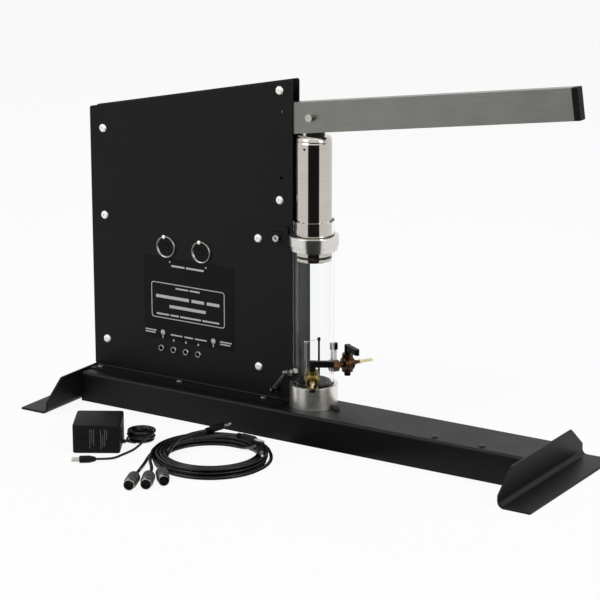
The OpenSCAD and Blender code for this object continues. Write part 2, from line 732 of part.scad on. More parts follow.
// Pressure line from the third port down into the base
fit_l = 14;
elbow_d = 9;
fit_hex_d = 12;
fit_hex_l = 5;
fit_ring_gap = 1.5;
fit_neck_d = 7;
fit_ring_d = 9;
ferrule_d = 6;
fit_end = [cos(ports[2]), sin(ports[2])] * (cup_clear + fit_l);
elbow = [tube_x + fit_end[0], tube_y + fit_end[1], port_z];
hose_v = hose_end - elbow;
hose_l = norm(hose_v);
barb_l = 14;
module along_hose() {
    translate(elbow) rotate([0, 0, atan2(hose_v[1], hose_v[0])])
        rotate([0, acos(hose_v[2] / hose_l), 0]) children();
}
module hose_barb() {
    cylinder(d = ferrule_d, h = barb_l / 2);
    cylinder(d = hose_d - 2 * hose_wall, h = barb_l);
}
module pressure_fitting() {
    color("silver") difference() {
        union() {
            at_port(ports[2]) rotate([0, 90, 0]) {
                translate([0, 0, cup_clear - tube_wall - 2 * run])
                    cylinder(d = port_d, h = tube_wall + 2 * run);
                translate([0, 0, cup_clear]) rotate(30) cylinder(d = fit_hex_d, h = fit_hex_l, $fn = 6);
                translate([0, 0, cup_clear + fit_hex_l]) cylinder(d = fit_neck_d, h = fit_l - fit_hex_l);
                translate([0, 0, cup_clear + fit_hex_l + fit_ring_gap]) rotate(30)
                    cylinder(d = fit_ring_d, h = fit_hex_l / 2, $fn = 6);
            }
            translate(elbow) sphere(d = elbow_d, $fn = 32);
            along_hose() hose_barb();
        }
        at_port(ports[2]) rotate([0, 90, 0]) cylinder(d = outlet_bore, h = cup_clear + fit_l);
    }
}
module pressure_hose() {
    color("lightgray") along_hose() difference() {
        translate([0, 0, barb_l / 2 + seat]) cylinder(d = hose_d, h = hose_l - barb_l - 2 * seat);
        cylinder(d = hose_d - 2 * (hose_wall - seat), h = hose_l);
    }
}
sensor_w = 26;
sensor_h = 14;
module pressure_sensor() {
    // Its case is held between the plates, and its spigot comes out through the front one
    color("silver") {
        translate([hose_end[0] - sensor_w / 2, front_back + run, hose_end[2] - sensor_h / 2])
            cube([sensor_w, rear_front - front_back - run, sensor_h]);
        turn_y([hose_end[0], hose_end[2]]) {
            translate([0, 0, hose_end[1]]) cylinder(d = spigot_d, h = front_back + run - hose_end[1]);
            translate([0, 0, front_face - nut_h]) cylinder(d = nut_d, h = nut_h, $fn = 6);
        }
        translate(hose_end) sphere(d = elbow_d - over, $fn = 32);
        along_hose() translate([0, 0, hose_l]) mirror([0, 0, 1]) hose_barb();
    }
}

// Electronics behind the panel
cover_x1 = panel_x1;
cover_x0 = cover_x1 - cover_w;
cover_y1 = base_w / 2;
// Middle of the two round sockets, from the panel's right edge and above the base
socket_from_edge = 162;
socket_up = 175;
socket_x = panel_x1 - socket_from_edge;
socket_z = base_h + socket_up;
sockets = [for (s = [-1, 1]) [socket_x + s * socket_gap / 2, socket_z]];
window_w = 60;
window_h = 36;
window_x = socket_x - window_w / 2;
window_z = socket_z - socket_od / 2 - window_h;
socket_rim = 3;
socket_shelf = 0.5;
socket_in = socket_od - 2 * socket_rim;
socket_hole_d = socket_in - 2 * socket_shelf;
socket_proud = 3;
core_deep = 12;
// The label hangs under the sockets, and the row of small jacks sits under the label
label_from_edge = 156;
label_gap = 0.5;
label_x = panel_x1 - label_from_edge;
label_z = socket_z - socket_od / 2 - label_gap - label_h;
jack_from_edge = 170;
jack_below = 12;
jack_x = panel_x1 - jack_from_edge;
jack_z = label_z - jack_below;
jacks = [for (i = [0:3]) [jack_x + (i - 1.5) * jack_gap, jack_z]];
jack_flange = 1;
jack_hole_d = jack_od - 2 * jack_flange;
jack_bore = 3.6;
jack_insert_d = 5.6;
jack_proud = 2.4;
jack_deep = 11;
module socket_rings() {
    color("silver") for (s = sockets) turn_y(s) translate([0, 0, front_face - socket_proud]) difference() {
        cylinder(d = socket_od, h = socket_proud);
        translate([0, 0, -over]) cylinder(d = socket_in, h = socket_proud + 2 * over);
    }
}
pin_hole_d = 1.6;
pin_circle = 9;
module socket_cores() {
    color("black") for (s = sockets) turn_y(s) difference() {
        union() {
            translate([0, 0, front_face - socket_proud / 2])
                cylinder(d = socket_in - 2 * seat, h = socket_proud / 2);
            translate([0, 0, front_face]) cylinder(d = socket_hole_d - 2 * seat, h = core_deep);
        }
        for (a = [-135:45:135]) rotate(a - 90) translate([pin_circle / 2, 0, front_face - socket_proud])
            cylinder(d = pin_hole_d, h = core_deep / 2, $fn = 16);
    }
}
module jack_bushings() {
    color("silver") for (j = jacks) turn_y(j) difference() {
        union() {
            translate([0, 0, front_face - jack_proud]) cylinder(d = jack_od, h = jack_proud);
            translate([0, 0, front_face - seat]) cylinder(d = jack_hole_d - 2 * seat, h = plate_t + nut_h);
        }
        translate([0, 0, front_face - jack_proud - over]) cylinder(d = jack_insert_d,
            h = plate_t + nut_h + jack_proud + 2 * over);
    }
}
module jack_inserts() {
    color("black") for (j = jacks) turn_y(j) difference() {
        translate([0, 0, front_face - jack_proud / 2]) cylinder(d = jack_insert_d - 2 * seat, h = jack_deep);
        translate([0, 0, front_face - jack_proud]) cylinder(d = jack_bore, h = jack_deep);
    }
}
module label_plate() {
    color("black") translate([label_x - label_w / 2, front_face - label_t, label_z])
        cube([label_w, label_t, label_h]);
}
module rear_cover() {
    // The cover stands on the rear plate's lip, clear of its fold and of the cup
    z0 = base_h + plate_t + seat;
    color("dimgray") difference() {
        translate([cover_x0, rear_face, z0]) cube([cover_w, cover_y1 - rear_face, base_h + cover_h - z0]);
        translate([cover_x0 + cover_t, rear_face - over, z0 - over])
            cube([cover_w - 2 * cover_t, cover_y1 - rear_face - cover_t + over,
                base_h + cover_h - cover_t - z0 + over]);
        translate([cover_x0 - over, rear_face - over, z0 - over])
            cube([cover_w + 2 * over, plate_fold + seat + over, fold_top + seat - z0 + over]);
        translate([foot_notch_x, rear_face - over, z0 - over])
            cube([cup_od, cover_y1 - rear_face - cover_t - run + over, base_h + cup_h + run - z0 + over]);
        for (p = spacers) turn_y(p) translate([0, 0, rear_face - over])
            cylinder(d = nut_d + 2 * run, h = nut_h + run + over);
        for (p = board_posts) turn_y(p) cylinder(d = lip_hole_d, h = base_w);
        translate([cover_x0, power_y, power_z]) rotate([0, 90, 0])
            cylinder(d = power_d, h = cover_t * 3, center = true);
    }
}
post_in = 16;
board_posts = [for (x = [cover_x0 + post_in, cover_x1 - post_in],
    z = [base_h + 2 * post_in, base_h + cover_h - post_in]) [x, z]];
standoff_d = 6;
board_gap = 6;
board_t = 1.6;
board_y = rear_face + board_gap;
module board_standoffs() {
    color("silver") for (p = board_posts) turn_y(p) {
        translate([0, 0, rear_face]) cylinder(d = standoff_d, h = board_gap);
        translate([0, 0, board_y]) cylinder(d = dome_shank, h = board_t);
        translate([0, 0, board_y + board_t]) cylinder(d = standoff_d,
            h = cover_y1 - cover_t - board_y - board_t);
    }
    cover_screws();
}
cover_screw_d = 6;
cover_screw_top_d = 4;
module cover_screws() {
    color("silver") for (p = board_posts) turn_y(p) {
        translate([0, 0, cover_y1 - cover_t]) cylinder(d = dome_shank, h = cover_t);
        translate([0, 0, cover_y1]) cylinder(d = cover_screw_d, h = dome_h / 2);
        translate([0, 0, cover_y1 + dome_h / 2]) cylinder(d1 = cover_screw_d, d2 = cover_screw_top_d,
            h = dome_h / 2);
    }
}
chip = [22, 9, 4];
can_d = 8;
can_h = 9;
module circuit_board() {
    x0 = cover_x0 + post_in / 2;
    z0 = base_h + 1.5 * post_in;
    color("darkgreen") difference() {
        translate([x0, board_y, z0]) cube([cover_w - post_in, board_t, cover_h - 2 * post_in]);
        for (p = board_posts) turn_y(p) cylinder(d = lip_hole_d, h = base_w);
    }
    color("black") for (i = [1:4], k = [1:2])
        translate([x0 + i * cover_w / 6, board_y + board_t, z0 + k * cover_h / 4])
            cube([chip[0], chip[2], chip[1]]);
    color("gray") for (i = [1:4]) turn_y([x0 + (i + 0.5) * cover_w / 6, z0 + cover_h / 8])
        translate([0, 0, board_y + board_t]) cylinder(d = can_d, h = can_h);
}
power_y = (rear_face + cover_y1) / 2;
power_up = 30;
power_z = base_h + power_up;
power_d = 8;
power_bore = 5.6;
power_l = 12;
power_flange = 2;
module power_socket() {
    color("black") translate([cover_x0, power_y, power_z]) rotate([0, 90, 0]) difference() {
        union() {
            translate([0, 0, -power_flange]) cylinder(d = power_d + power_flange, h = power_flange);
            cylinder(d = power_d - 2 * seat, h = power_l);
        }
        translate([0, 0, -power_flange - over]) cylinder(d = power_bore, h = power_l);
    }
}

// Volume sensor: a slide track on the rear plate and a slider on the piston
track_w = 11;
track_d = 9;
track_x = panel_x1 - track_w - over;
slider_t = 3;
travel = arm_r * (sin(lever_tilt) - sin(lever_tilt - lever_down));
lift = arm_r * (sin(lever_tilt + lever_up) - sin(lever_tilt));
track_z0 = piston_top - travel - 2 * arm_bar_h;
track_z1 = piston_top + lift + 3 * arm_bar_h;
track_slot_w = 4;
track_screw_z = [track_z0 + arm_bar_h, track_z1 - arm_bar_h];
track_back = rear_face + track_d;
module volume_sensor_track() {
    color("dimgray") difference() {
        translate([track_x, rear_face, track_z0]) cube([track_w, track_d, track_z1 - track_z0]);
        translate([track_x + (track_w - track_slot_w) / 2, track_back - slider_t - 2 * run,
            track_z0 + arm_bar_h]) cube([track_slot_w, track_d, track_z1 - track_z0 - 2 * arm_bar_h]);
        for (z = track_screw_z) turn_y([track_x + track_w / 2, z])
            cylinder(d = dome_shank, h = rear_face + slider_t);
    }
}
slider_y = track_back + 2 * run;
slider_blade = track_slot_w - 2 * run;
module volume_sensor_slider() {
    y0 = tube_y + block_w / 2;
    color("dimgray") translate([0, 0, piston_top]) {
        translate([tube_x - arm_bar_h, y0, 0]) cube([2 * arm_bar_h, slider_y + slider_t - y0, arm_bar_h]);
        translate([track_x, slider_y, 0]) cube([tube_x - track_x, slider_t, arm_bar_h]);
        translate([track_x + (track_w - slider_blade) / 2, track_back - slider_t, 0])
            cube([slider_blade, slider_y - track_back + slider_t + over, arm_bar_h]);
    }
}

// Wall adapter, turned on the table beside the panel's end of the base
adapter_at = [-195, -173];
adapter_turn = 30.8;
adapter_size = [58, 60, 36];
adapter_corner = 4;
exit_share = 0.1;
exit_h = 8;
relief_d = 6;
relief_l = 5;
blade = [6.4, 1.6, 16];
blade_gap = 12.7;
module at_adapter() { translate([adapter_at[0], adapter_at[1], 0]) rotate(adapter_turn) children(); }
module adapter_body() {
    r = adapter_corner;
    w = adapter_size[0] - 2 * r;
    l = adapter_size[1] - 2 * r;
    color("dimgray") at_adapter() {
        for (x = [-w / 2, w / 2], y = [-l / 2, l / 2]) translate([x, y, 0])
            cylinder(r = r, h = adapter_size[2], $fn = 32);
        translate([-w / 2 - r, -l / 2, 0]) cube([w + 2 * r, l, adapter_size[2]]);
        translate([-w / 2, -l / 2 - r, 0]) cube([w, l + 2 * r, adapter_size[2]]);
        translate([adapter_size[0] / 2, -adapter_size[1] * exit_share, exit_h]) rotate([0, 90, 0])
            cylinder(d = relief_d, h = relief_l);
    }
}
module adapter_blades() {
    color("silver") at_adapter() for (s = [-1, 1])
        translate([s * blade_gap / 2 - blade[1] / 2, adapter_size[1] / 2,
            adapter_size[2] / 2 - blade[0] / 2]) cube([blade[1], blade[2], blade[0]]);
}

// A tube along a list of points, as one closed surface
function unit(v) = v / norm(v);
function heading(p, i) = unit(p[min(i + 1, len(p) - 1)] - p[max(i - 1, 0)]);
function ring_at(c, t, d, n) = let (s = unit(cross(t, [0, 0, 1])), u = cross(s, t))
    [for (k = [0:n - 1]) c + d / 2 * (cos(360 * k / n) * s + sin(360 * k / n) * u)];
module tube(p, d, n) {
    last = (len(p) - 1) * n;
    polyhedron(points = [for (i = [0:len(p) - 1]) each ring_at(p[i], heading(p, i), d, n)],
        faces = concat([for (k = [1:n - 2]) [0, k + 1, k]], [for (k = [1:n - 2])
            [last, last + k, last + k + 1]],
            [for (i = [0:len(p) - 2], k = [0:n - 1]) [i * n + k, i * n + (k + 1) % n, (i + 1)
                * n + (k + 1) % n]],
            [for (i = [0:len(p) - 2], k = [0:n - 1]) [i * n + k, (i + 1) * n + (k + 1) % n, (i + 1)
                * n + k]]));
}
// Points of a coil that runs clockwise from an angle, inwards first, in one or more layers
loop_rings = 24;
function fold(t) = abs(t - 2 * floor(t / 2 + 0.5));
function layer_z(t, turns) = let (k = round(t), d = (t - k) * turns)
    k < 0.5 ? 0 : k - 0.5 + max(-0.5, min(0.5, 2 * d));
function coil_points(c, r, step, turns, a, layers) = [for (i = [0:turns * layers * loop_rings])
    let (t = i / loop_rings / turns, q = r - step * turns * fold(t), b = a - 360 * i / loop_rings)
    [c[0] + q * cos(b), c[1] + q * sin(b),
        c[2] + step * (layers > 1 ? min(layers - 1, layer_z(t, turns)) : 0)]];
function least_gap(p, d, apart)
    = min([for (i = [0:len(p) - 1]) for (k = [i + apart:1:len(p) - 1]) norm(p[i] - p[k])]) - d;

// Signal cables: each runs from a round plug through its layer of the coil to a small plug
cable_d = 4.2;
cable_step = 4.7;
coil_r = 69.6;
coil_at = [-46, -147];
layer_up = [for (i = [0:2]) cable_d / 2 + seat + i * cable_step];
// Turns of each cable in the coil, and the angle at which its outer end joins
coil_turns = [2.75, 3.125, 3];
coil_start = [0, 200, 230];
coil_layer = [0, 2, 1];
module cable_coil(i) {
    p = coil_points([coil_at[0], coil_at[1], layer_up[coil_layer[i]]], coil_r, cable_step,
        coil_turns[i], coil_start[i], 1);
    echo(least_gap_of_coil = least_gap(p, cable_d, loop_rings / 2));
    color("black") tube(p, cable_d, 6);
}
lead_1_in = [[-82, -251, 7.8], [-86, -241.5, 7.2], [-92, -230, 5], [-99, -216, 3], [-106, -200, 2.2],
    [-113, -184, 2.2],
    [-119, -168, 2.2], [-123, -151, 2.2], [-125, -134, 2.2], [-124.5, -117, 2.2], [-120, -101, 2.2],
        [-112, -87, 2.2],
    [-101, -75, 2.2], [-88, -66, 2.2], [-73, -60, 2.2], [-57, -58, 2.2], [-41, -60, 2.2],
        [-26, -66, 2.2], [-12, -75, 2.2],
    [0, -87, 2.2], [11, -101, 2.2], [19, -116, 2.2], [23, -131, 2.2], [23.6, -147, 2.2]];
lead_1_out = [[-46, -90.3, 2.2], [-38, -91.8, 2.8], [-29, -96, 5], [-20.5, -101.5, 9],
    [-12.5, -105.5, 13], [-6, -108.8, 16.5], [1, -114, 18.3]];
lead_2_in = [[-70, -239.5, 7.8], [-75, -230, 8], [-83, -219, 8.5], [-94, -206, 9.5], [-103, -191, 10.8],
    [-108.5, -179.5, 11.4], [-111.4, -170.8, 11.6]];
lead_2_out = [[-95.8, -123.8, 11.6], [-90.5, -115.5, 11.8], [-81, -108, 12.6], [-69, -102.5, 14.8],
    [-57, -98.3, 17.2], [-49.5, -96, 18.1], [-42, -94.5, 18.3]];
lead_3_in = [[-66, -223, 7.8], [-70.5, -217.6, 7.8], [-76, -212, 7.6], [-83, -206.3, 7],
    [-90.7, -200.3, 6.9]];
lead_3_out = [[-81.7, -189.5, 6.9], [-87.5, -181, 7.5], [-91.6, -169.6, 10.4], [-95, -156, 14.3],
    [-96.3, -142, 17.3], [-94.5, -128, 18.1], [-90.5, -114, 18.3], [-84.5, -101, 18.3]];
module cable_leads(a, b) {
    color("black") {
        tube(a, cable_d, 8);
        tube(b, cable_d, 8);
    }
}
module cable_1_coil() { cable_coil(0); }
module cable_2_coil() { cable_coil(1); }
module cable_3_coil() { cable_coil(2); }
module cable_1_leads() { cable_leads(lead_1_in, lead_1_out); }
module cable_2_leads() { cable_leads(lead_2_in, lead_2_out); }
module cable_3_leads() { cable_leads(lead_3_in, lead_3_out); }
// Directions in which the plugs point away from their cables
round_plug_turn = [-67, -62, -50];
small_plug_turn = [-50, -6, 76];
din_boot = 10;
din_body = 22;
din_shell = 8;
din_d = 15.4;
din_shell_d = 13.2;
boot_d = 6;
din_boot_d = 12.4;
plug_wall = 0.8;
module plug_at(p, turn) { translate(p) rotate(turn) rotate([0, 90, 0]) children(); }
module din_plug() {
    color("gray") cylinder(d1 = boot_d, d2 = din_boot_d, h = din_boot);
    color("gray") translate([0, 0, din_boot]) cylinder(d = din_d, h = din_body);
    color("silver") translate([0, 0, din_boot + din_body]) difference() {
        cylinder(d = din_shell_d, h = din_shell);
        translate([0, 0, over]) cylinder(d = din_shell_d - 2 * plug_wall, h = din_shell);
    }
}
small_d = 8.6;
small_boot_d = 7.4;
small_cable_d = 5.4;
small_boot = 8;
small_body = 20;
small_shaft = 14;
small_shaft_d = 3.5;
module small_plug() {
    color("black") cylinder(d1 = small_cable_d, d2 = small_boot_d, h = small_boot);
    color("black") translate([0, 0, small_boot]) cylinder(d = small_d, h = small_body);
    color("silver") translate([0, 0, small_boot + small_body]) cylinder(d = small_shaft_d, h = small_shaft);
}
module din_plugs() {
    plug_at(lead_1_in[0], round_plug_turn[0]) din_plug();
    plug_at(lead_2_in[0], round_plug_turn[1]) din_plug();
    plug_at(lead_3_in[0], round_plug_turn[2]) din_plug();
}
module phone_plugs() {
    plug_at(lead_1_out[len(lead_1_out) - 1], small_plug_turn[0]) small_plug();
    plug_at(lead_2_out[len(lead_2_out) - 1], small_plug_turn[1]) small_plug();
    plug_at(lead_3_out[len(lead_3_out) - 1], small_plug_turn[2]) small_plug();
}

// The adapter's lead: a small coil beside it, and a stretch to the barrel plug
lead_d = 3;
lead_step = 3.5;
hank_at = [-164, -127];
hank_r = 17.2;
hank_layers = 4;
hank_turns = 2.375;
hank_start = 230;
hank_up = lead_d / 2 + seat;
power_lead_in = [[-167.2, -163.2, 8], [-162.2, -160.2, 8], [-156.9, -156, 6.5], [-156.2, -150, 4.3],
    [-160, -146, 2.6], [-167, -143.5, 1.8], [-175.1, -140.2, 1.6]];
power_lead_out = [[-152.9, -113.8, 12.1], [-148.5, -119.5, 12.1], [-146.4, -128, 11.8],
    [-145.8, -137, 10.5], [-145.6, -147, 7.5], [-145.6, -157, 4.5], [-146, -167, 2.3],
    [-146.8, -178, 1.6], [-147.5, -190, 1.6], [-148, -202, 1.8], [-149.8, -212, 3], [-153.6, -220, 4.3],
        [-160, -226, 4.7]];
module adapter_hank() {
    p = coil_points([hank_at[0], hank_at[1], hank_up], hank_r, lead_step, hank_turns, hank_start,
        hank_layers);
    echo(least_gap_of_hank = least_gap(p, lead_d, loop_rings / 2));
    echo(hank_ends = [p[0], p[len(p) - 1]]);
    color("black") tube(p, lead_d, 6);
}
module adapter_leads() {
    color("black") {
        tube(power_lead_in, lead_d, 8);
        tube(power_lead_out, lead_d, 8);
    }
}
power_plug_turn = 216;
power_grip_d = 9;
power_grip_l = 20;
barrel_d = 5.5;
barrel_l = 9.5;
barrel_wall = 1.5;
module power_plug() {
    plug_at(power_lead_out[len(power_lead_out) - 1], power_plug_turn) {
        color("black") cylinder(d1 = barrel_d, d2 = power_grip_d, h = power_grip_l / 3);
        color("black") translate([0, 0, power_grip_l / 3]) cylinder(d = power_grip_d,
            h = power_grip_l * 2 / 3);
        color("silver") translate([0, 0, power_grip_l]) difference() {
            cylinder(d = barrel_d, h = barrel_l);
            translate([0, 0, over]) cylinder(d = barrel_d - 2 * barrel_wall, h = barrel_l);
        }
    }
}

base_channel();
left_foot();
right_foot();
base_screws();
front_plate();
rear_plate();
plate_spacers();
panel_screws();
panel_nuts();
pivot_bolt();
pivot_bushing();
lever_bar();
lever_end_cap();
lever_pin();
crosshead_block();
piston();
piston_cap();
piston_seal_rings();
piston_set_screw();
cylinder_tube();
tube_collar();
collar_bracket();
base_cup();
cylinder_plug();
sensor_posts();
front_stopcock_body();
front_stopcock_plug();
front_stopcock_handle();
rear_stopcock_body();
rear_stopcock_plug();
rear_stopcock_handle();
pressure_fitting();
pressure_hose();
pressure_sensor();
bleed_riser();
bleed_cap();
rear_cover();
circuit_board();
board_standoffs();
volume_sensor_track();
volume_sensor_slider();
socket_rings();
socket_cores();
jack_bushings();
jack_inserts();
label_plate();
power_socket();
adapter_body();
adapter_blades();
adapter_hank();
adapter_leads();
power_plug();
cable_1_coil();
cable_1_leads();
cable_2_coil();
cable_2_leads();
cable_3_coil();
cable_3_leads();
din_plugs();
phone_plugs();
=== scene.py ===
# %% [markdown]
# # A gas law apparatus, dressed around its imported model
# A long lever drives a polished piston down a clear cylinder, and a black panel
# beside it holds the sensors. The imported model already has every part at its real
# size and place. This lesson adds what the eye expects: finishes, rounded edges,
# screws with real recesses, cables with real lengths, and a soft studio light.
# All lengths are in metres, because Blender's unit is one metre.

# %% Load the frame
import json
from math import atan2, cos, floor, hypot, pi, radians, sin

import bmesh
import bpy
from mathutils import Matrix, Vector

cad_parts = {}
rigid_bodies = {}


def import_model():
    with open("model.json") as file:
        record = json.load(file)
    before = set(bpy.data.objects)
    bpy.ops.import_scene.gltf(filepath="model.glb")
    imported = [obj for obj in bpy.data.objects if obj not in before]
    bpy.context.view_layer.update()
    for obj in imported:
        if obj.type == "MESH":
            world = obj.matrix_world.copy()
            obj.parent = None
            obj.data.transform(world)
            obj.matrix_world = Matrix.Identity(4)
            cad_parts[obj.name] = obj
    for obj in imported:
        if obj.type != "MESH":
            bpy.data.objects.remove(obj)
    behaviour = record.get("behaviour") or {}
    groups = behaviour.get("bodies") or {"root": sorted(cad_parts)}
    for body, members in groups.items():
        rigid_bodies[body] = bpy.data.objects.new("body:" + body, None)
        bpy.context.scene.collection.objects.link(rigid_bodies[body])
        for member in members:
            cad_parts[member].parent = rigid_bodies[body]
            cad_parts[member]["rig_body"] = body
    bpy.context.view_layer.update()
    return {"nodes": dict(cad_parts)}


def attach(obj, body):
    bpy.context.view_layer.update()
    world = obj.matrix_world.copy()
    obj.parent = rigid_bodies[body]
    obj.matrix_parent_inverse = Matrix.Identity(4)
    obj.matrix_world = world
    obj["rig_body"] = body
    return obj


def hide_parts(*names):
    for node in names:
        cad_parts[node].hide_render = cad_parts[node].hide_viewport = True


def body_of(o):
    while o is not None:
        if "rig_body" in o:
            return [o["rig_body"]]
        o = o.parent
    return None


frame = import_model()
MM = 0.001
nodes = frame["nodes"]

# %% [markdown]
# ## The camera
# The photograph was taken with a long lens from the front right, a little above the
# lever. A long lens keeps the base and the lever almost parallel, so the distance and
# the focal length matter as much as the direction. These values were solved together
# with the sizes of the parts, and they are written as a real lens and a real place.

# %% Camera
CAMERA_AT = (1.5146, -2.4377, 0.9678)
CAMERA_TILT = 74.54
CAMERA_YAW = 32.04
LENS_MM = 145.3
SENSOR_MM = 36

camera_data = bpy.data.cameras.new("camera")
camera_data.lens = LENS_MM
camera_data.sensor_width = SENSOR_MM
camera = bpy.data.objects.new("camera", camera_data)
camera.location = CAMERA_AT
camera.rotation_euler = (radians(CAMERA_TILT), 0, radians(CAMERA_YAW))
bpy.context.scene.collection.objects.link(camera)
bpy.context.scene.camera = camera
print("camera", CAMERA_AT, "lens", LENS_MM, "mm")

# %% [markdown]
# ## Two helpers for materials
# Colours are easiest to choose as the hex codes of a colour picker, but a shader works
# in linear light, so one function turns them. A second one adds a shader node, gives
# it its settings, and sets or links its inputs. Every material below is built with it.

# %% Helpers for materials
def linear(code):
    """An sRGB hex colour as the four linear values of a colour socket."""
    shares = [int(code[i:i + 2], 16) / 255 for i in (1, 3, 5)]
    return [c / 12.92 if c <= 0.04045 else ((c + 0.055) / 1.055) ** 2.4 for c in shares] + [1]


def add_node(tree, kind, settings=None, inputs=None):
    """Adds a node and returns it. An input is named or numbered, and holds a value or a link."""
    node = tree.nodes.new("ShaderNode" + kind)
    for name, value in (settings or {}).items():
        setattr(node, name, value)
    for key, value in (inputs or {}).items():
        if isinstance(value, bpy.types.NodeSocket):
            tree.links.new(value, node.inputs[key])
        else:
            node.inputs[key].default_value = value
    return node


def new_material(name, **sockets):
    """A material with one Principled shader. Values that are the same all over go on its own sockets."""
    material = bpy.data.materials.new(name)
    material.use_nodes = True
    tree = material.node_tree
    tree.nodes.clear()
    shader = add_node(tree, "BsdfPrincipled", inputs={k.replace("_", " "): v for k, v in sockets.items()})
    add_node(tree, "OutputMaterial", inputs={"Surface": shader.outputs[0]})
    return material, tree, shader


# %% [markdown]
# ## One recipe for most finishes
# A real surface is never one flat colour: powder coat has an orange peel, drawn metal
# has streaks, a moulding has a fine grain. The same recipe serves them all. A coarse
# noise clouds the colour and the gloss, and a fine one lifts the surface. What differs
# is the size of the grain in millimetres, how far it is stretched, and which way it runs.

# %% The shared recipe
CLOUD_SHARE = 0.6
# Where the sum of cloud and grain starts and ends, in practice
NOISE_SPAN = (0.5, 1.1)


def finish(name, dark, light, rough, grain_mm, lift_mm, cloud_mm=40, metallic=0.0, stretch=(1, 1, 1),
           turn=(0, 0, 0), **sockets):
    """A clouded, grained surface. rough is a pair, and stretch is how many times longer the grain is."""
    material, tree, shader = new_material(name, Metallic=metallic, **sockets)
    coords = add_node(tree, "TexCoord").outputs["Object"]
    shrink = [1 / s for s in stretch]
    grain_coords = add_node(tree, "Mapping", {"vector_type": "POINT"},
                            {"Vector": coords, "Rotation": turn, "Scale": shrink})
    cloud = add_node(tree, "TexNoise", inputs={"Vector": coords, "Scale": 1 / (cloud_mm * MM), "Detail": 3})
    grain = add_node(tree, "TexNoise", inputs={"Vector": grain_coords.outputs[0], "Detail": 4,
                                               "Scale": 1 / (grain_mm * MM), "Roughness": 0.6})
    both = add_node(tree, "Math", {"operation": "MULTIPLY_ADD"},
                    {0: cloud.outputs["Fac"], 1: CLOUD_SHARE, 2: grain.outputs["Fac"]})
    span = {"Value": both.outputs[0], "From Min": NOISE_SPAN[0], "From Max": NOISE_SPAN[1]}
    share = add_node(tree, "MapRange", inputs=span)
    colour = add_node(tree, "Mix", {"data_type": "RGBA"},
                      {"Factor": share.outputs[0], 6: linear(dark), 7: linear(light)})
    gloss = add_node(tree, "MapRange", inputs={**span, "To Min": rough[0], "To Max": rough[1]})
    bump = add_node(tree, "Bump", inputs={"Height": grain.outputs["Fac"], "Distance": lift_mm * MM,
                                          "Strength": 1.0})
    tree.links.new(colour.outputs[2], shader.inputs["Base Color"])
    tree.links.new(gloss.outputs[0], shader.inputs["Roughness"])
    tree.links.new(bump.outputs[0], shader.inputs["Normal"])
    return material


# %% [markdown]
# ## Cable jackets
# Signal cables and mains leads have a jacket of soft PVC: black, slightly glossy, with
# faint flow lines from the extruder. The jacket picks up dust, which gives it a soft
# sheen. A fine grain with a low lift is enough at this size.

# %% Jackets
SIGNAL_JACKET = finish("soft_pvc_jacket", "#060607", "#0e0e0f", (0.22, 0.38), grain_mm=1.2, lift_mm=0.03,
                       cloud_mm=18, Specular_IOR_Level=0.3)
LEAD_JACKET = finish("glossy_pvc_lead", "#060607", "#0d0d0e", (0.2, 0.36), grain_mm=0.9, lift_mm=0.02,
                     cloud_mm=14, Specular_IOR_Level=0.3)
print("materials for cords:", SIGNAL_JACKET.name, LEAD_JACKET.name)

# %% [markdown]
# ## The signal cables
# Three signal cables lie on the table in one loose coil, each with a round plug at one end and a small plug
# at the other. A cable is best drawn as a curve: its points are the middle of the jacket, and the curve's
# bevel gives the thickness, so the length is simply the length of the line. The free stretches are lists of
# given points, and the coil's turns are worked out from its radius and its step.

# %% Routes of the signal cables
CABLE_D = 4.2 * MM
CABLE_STEP = 4.7 * MM
COIL_R = 69.6 * MM
COIL_AT = (-0.046, -0.147)
COIL_FIRST_UP = 2.2 * MM
RINGS_PER_TURN = 24
LEAD_1_IN = [(-0.082, -0.251, 0.0078), (-0.086, -0.2415, 0.0072), (-0.092, -0.23, 0.005),
             (-0.099, -0.216, 0.003), (-0.106, -0.2, 0.0022), (-0.113, -0.184, 0.0022),
             (-0.119, -0.168, 0.0022), (-0.123, -0.151, 0.0022), (-0.125, -0.134, 0.0022),
             (-0.1245, -0.117, 0.0022), (-0.12, -0.101, 0.0022), (-0.112, -0.087, 0.0022),
             (-0.101, -0.075, 0.0022), (-0.088, -0.066, 0.0022), (-0.073, -0.06, 0.0022),
             (-0.057, -0.058, 0.0022), (-0.041, -0.06, 0.0022), (-0.026, -0.066, 0.0022),
             (-0.012, -0.075, 0.0022), (0, -0.087, 0.0022), (0.011, -0.101, 0.0022), (0.019, -0.116, 0.0022),
             (0.023, -0.131, 0.0022), (0.0236, -0.147, 0.0022)]
LEAD_1_OUT = [(-0.046, -0.0903, 0.0022), (-0.038, -0.0918, 0.0028), (-0.029, -0.096, 0.005),
              (-0.0205, -0.1015, 0.009), (-0.0125, -0.1055, 0.013), (-0.006, -0.1088, 0.0165),
              (0.001, -0.114, 0.0183)]
LEAD_2_IN = [(-0.07, -0.2395, 0.0078), (-0.075, -0.23, 0.008), (-0.083, -0.219, 0.0085),
             (-0.094, -0.206, 0.0095), (-0.103, -0.191, 0.0108), (-0.1085, -0.1795, 0.0114),
             (-0.1114, -0.1708, 0.0116)]
LEAD_2_OUT = [(-0.0958, -0.1238, 0.0116), (-0.0905, -0.1155, 0.0118), (-0.081, -0.108, 0.0126),
              (-0.069, -0.1025, 0.0148), (-0.057, -0.0983, 0.0172), (-0.0495, -0.096, 0.0181),
              (-0.042, -0.0945, 0.0183)]
LEAD_3_IN = [(-0.066, -0.223, 0.0078), (-0.0705, -0.2176, 0.0078), (-0.076, -0.212, 0.0076),
             (-0.083, -0.2063, 0.007), (-0.0907, -0.2003, 0.0069)]
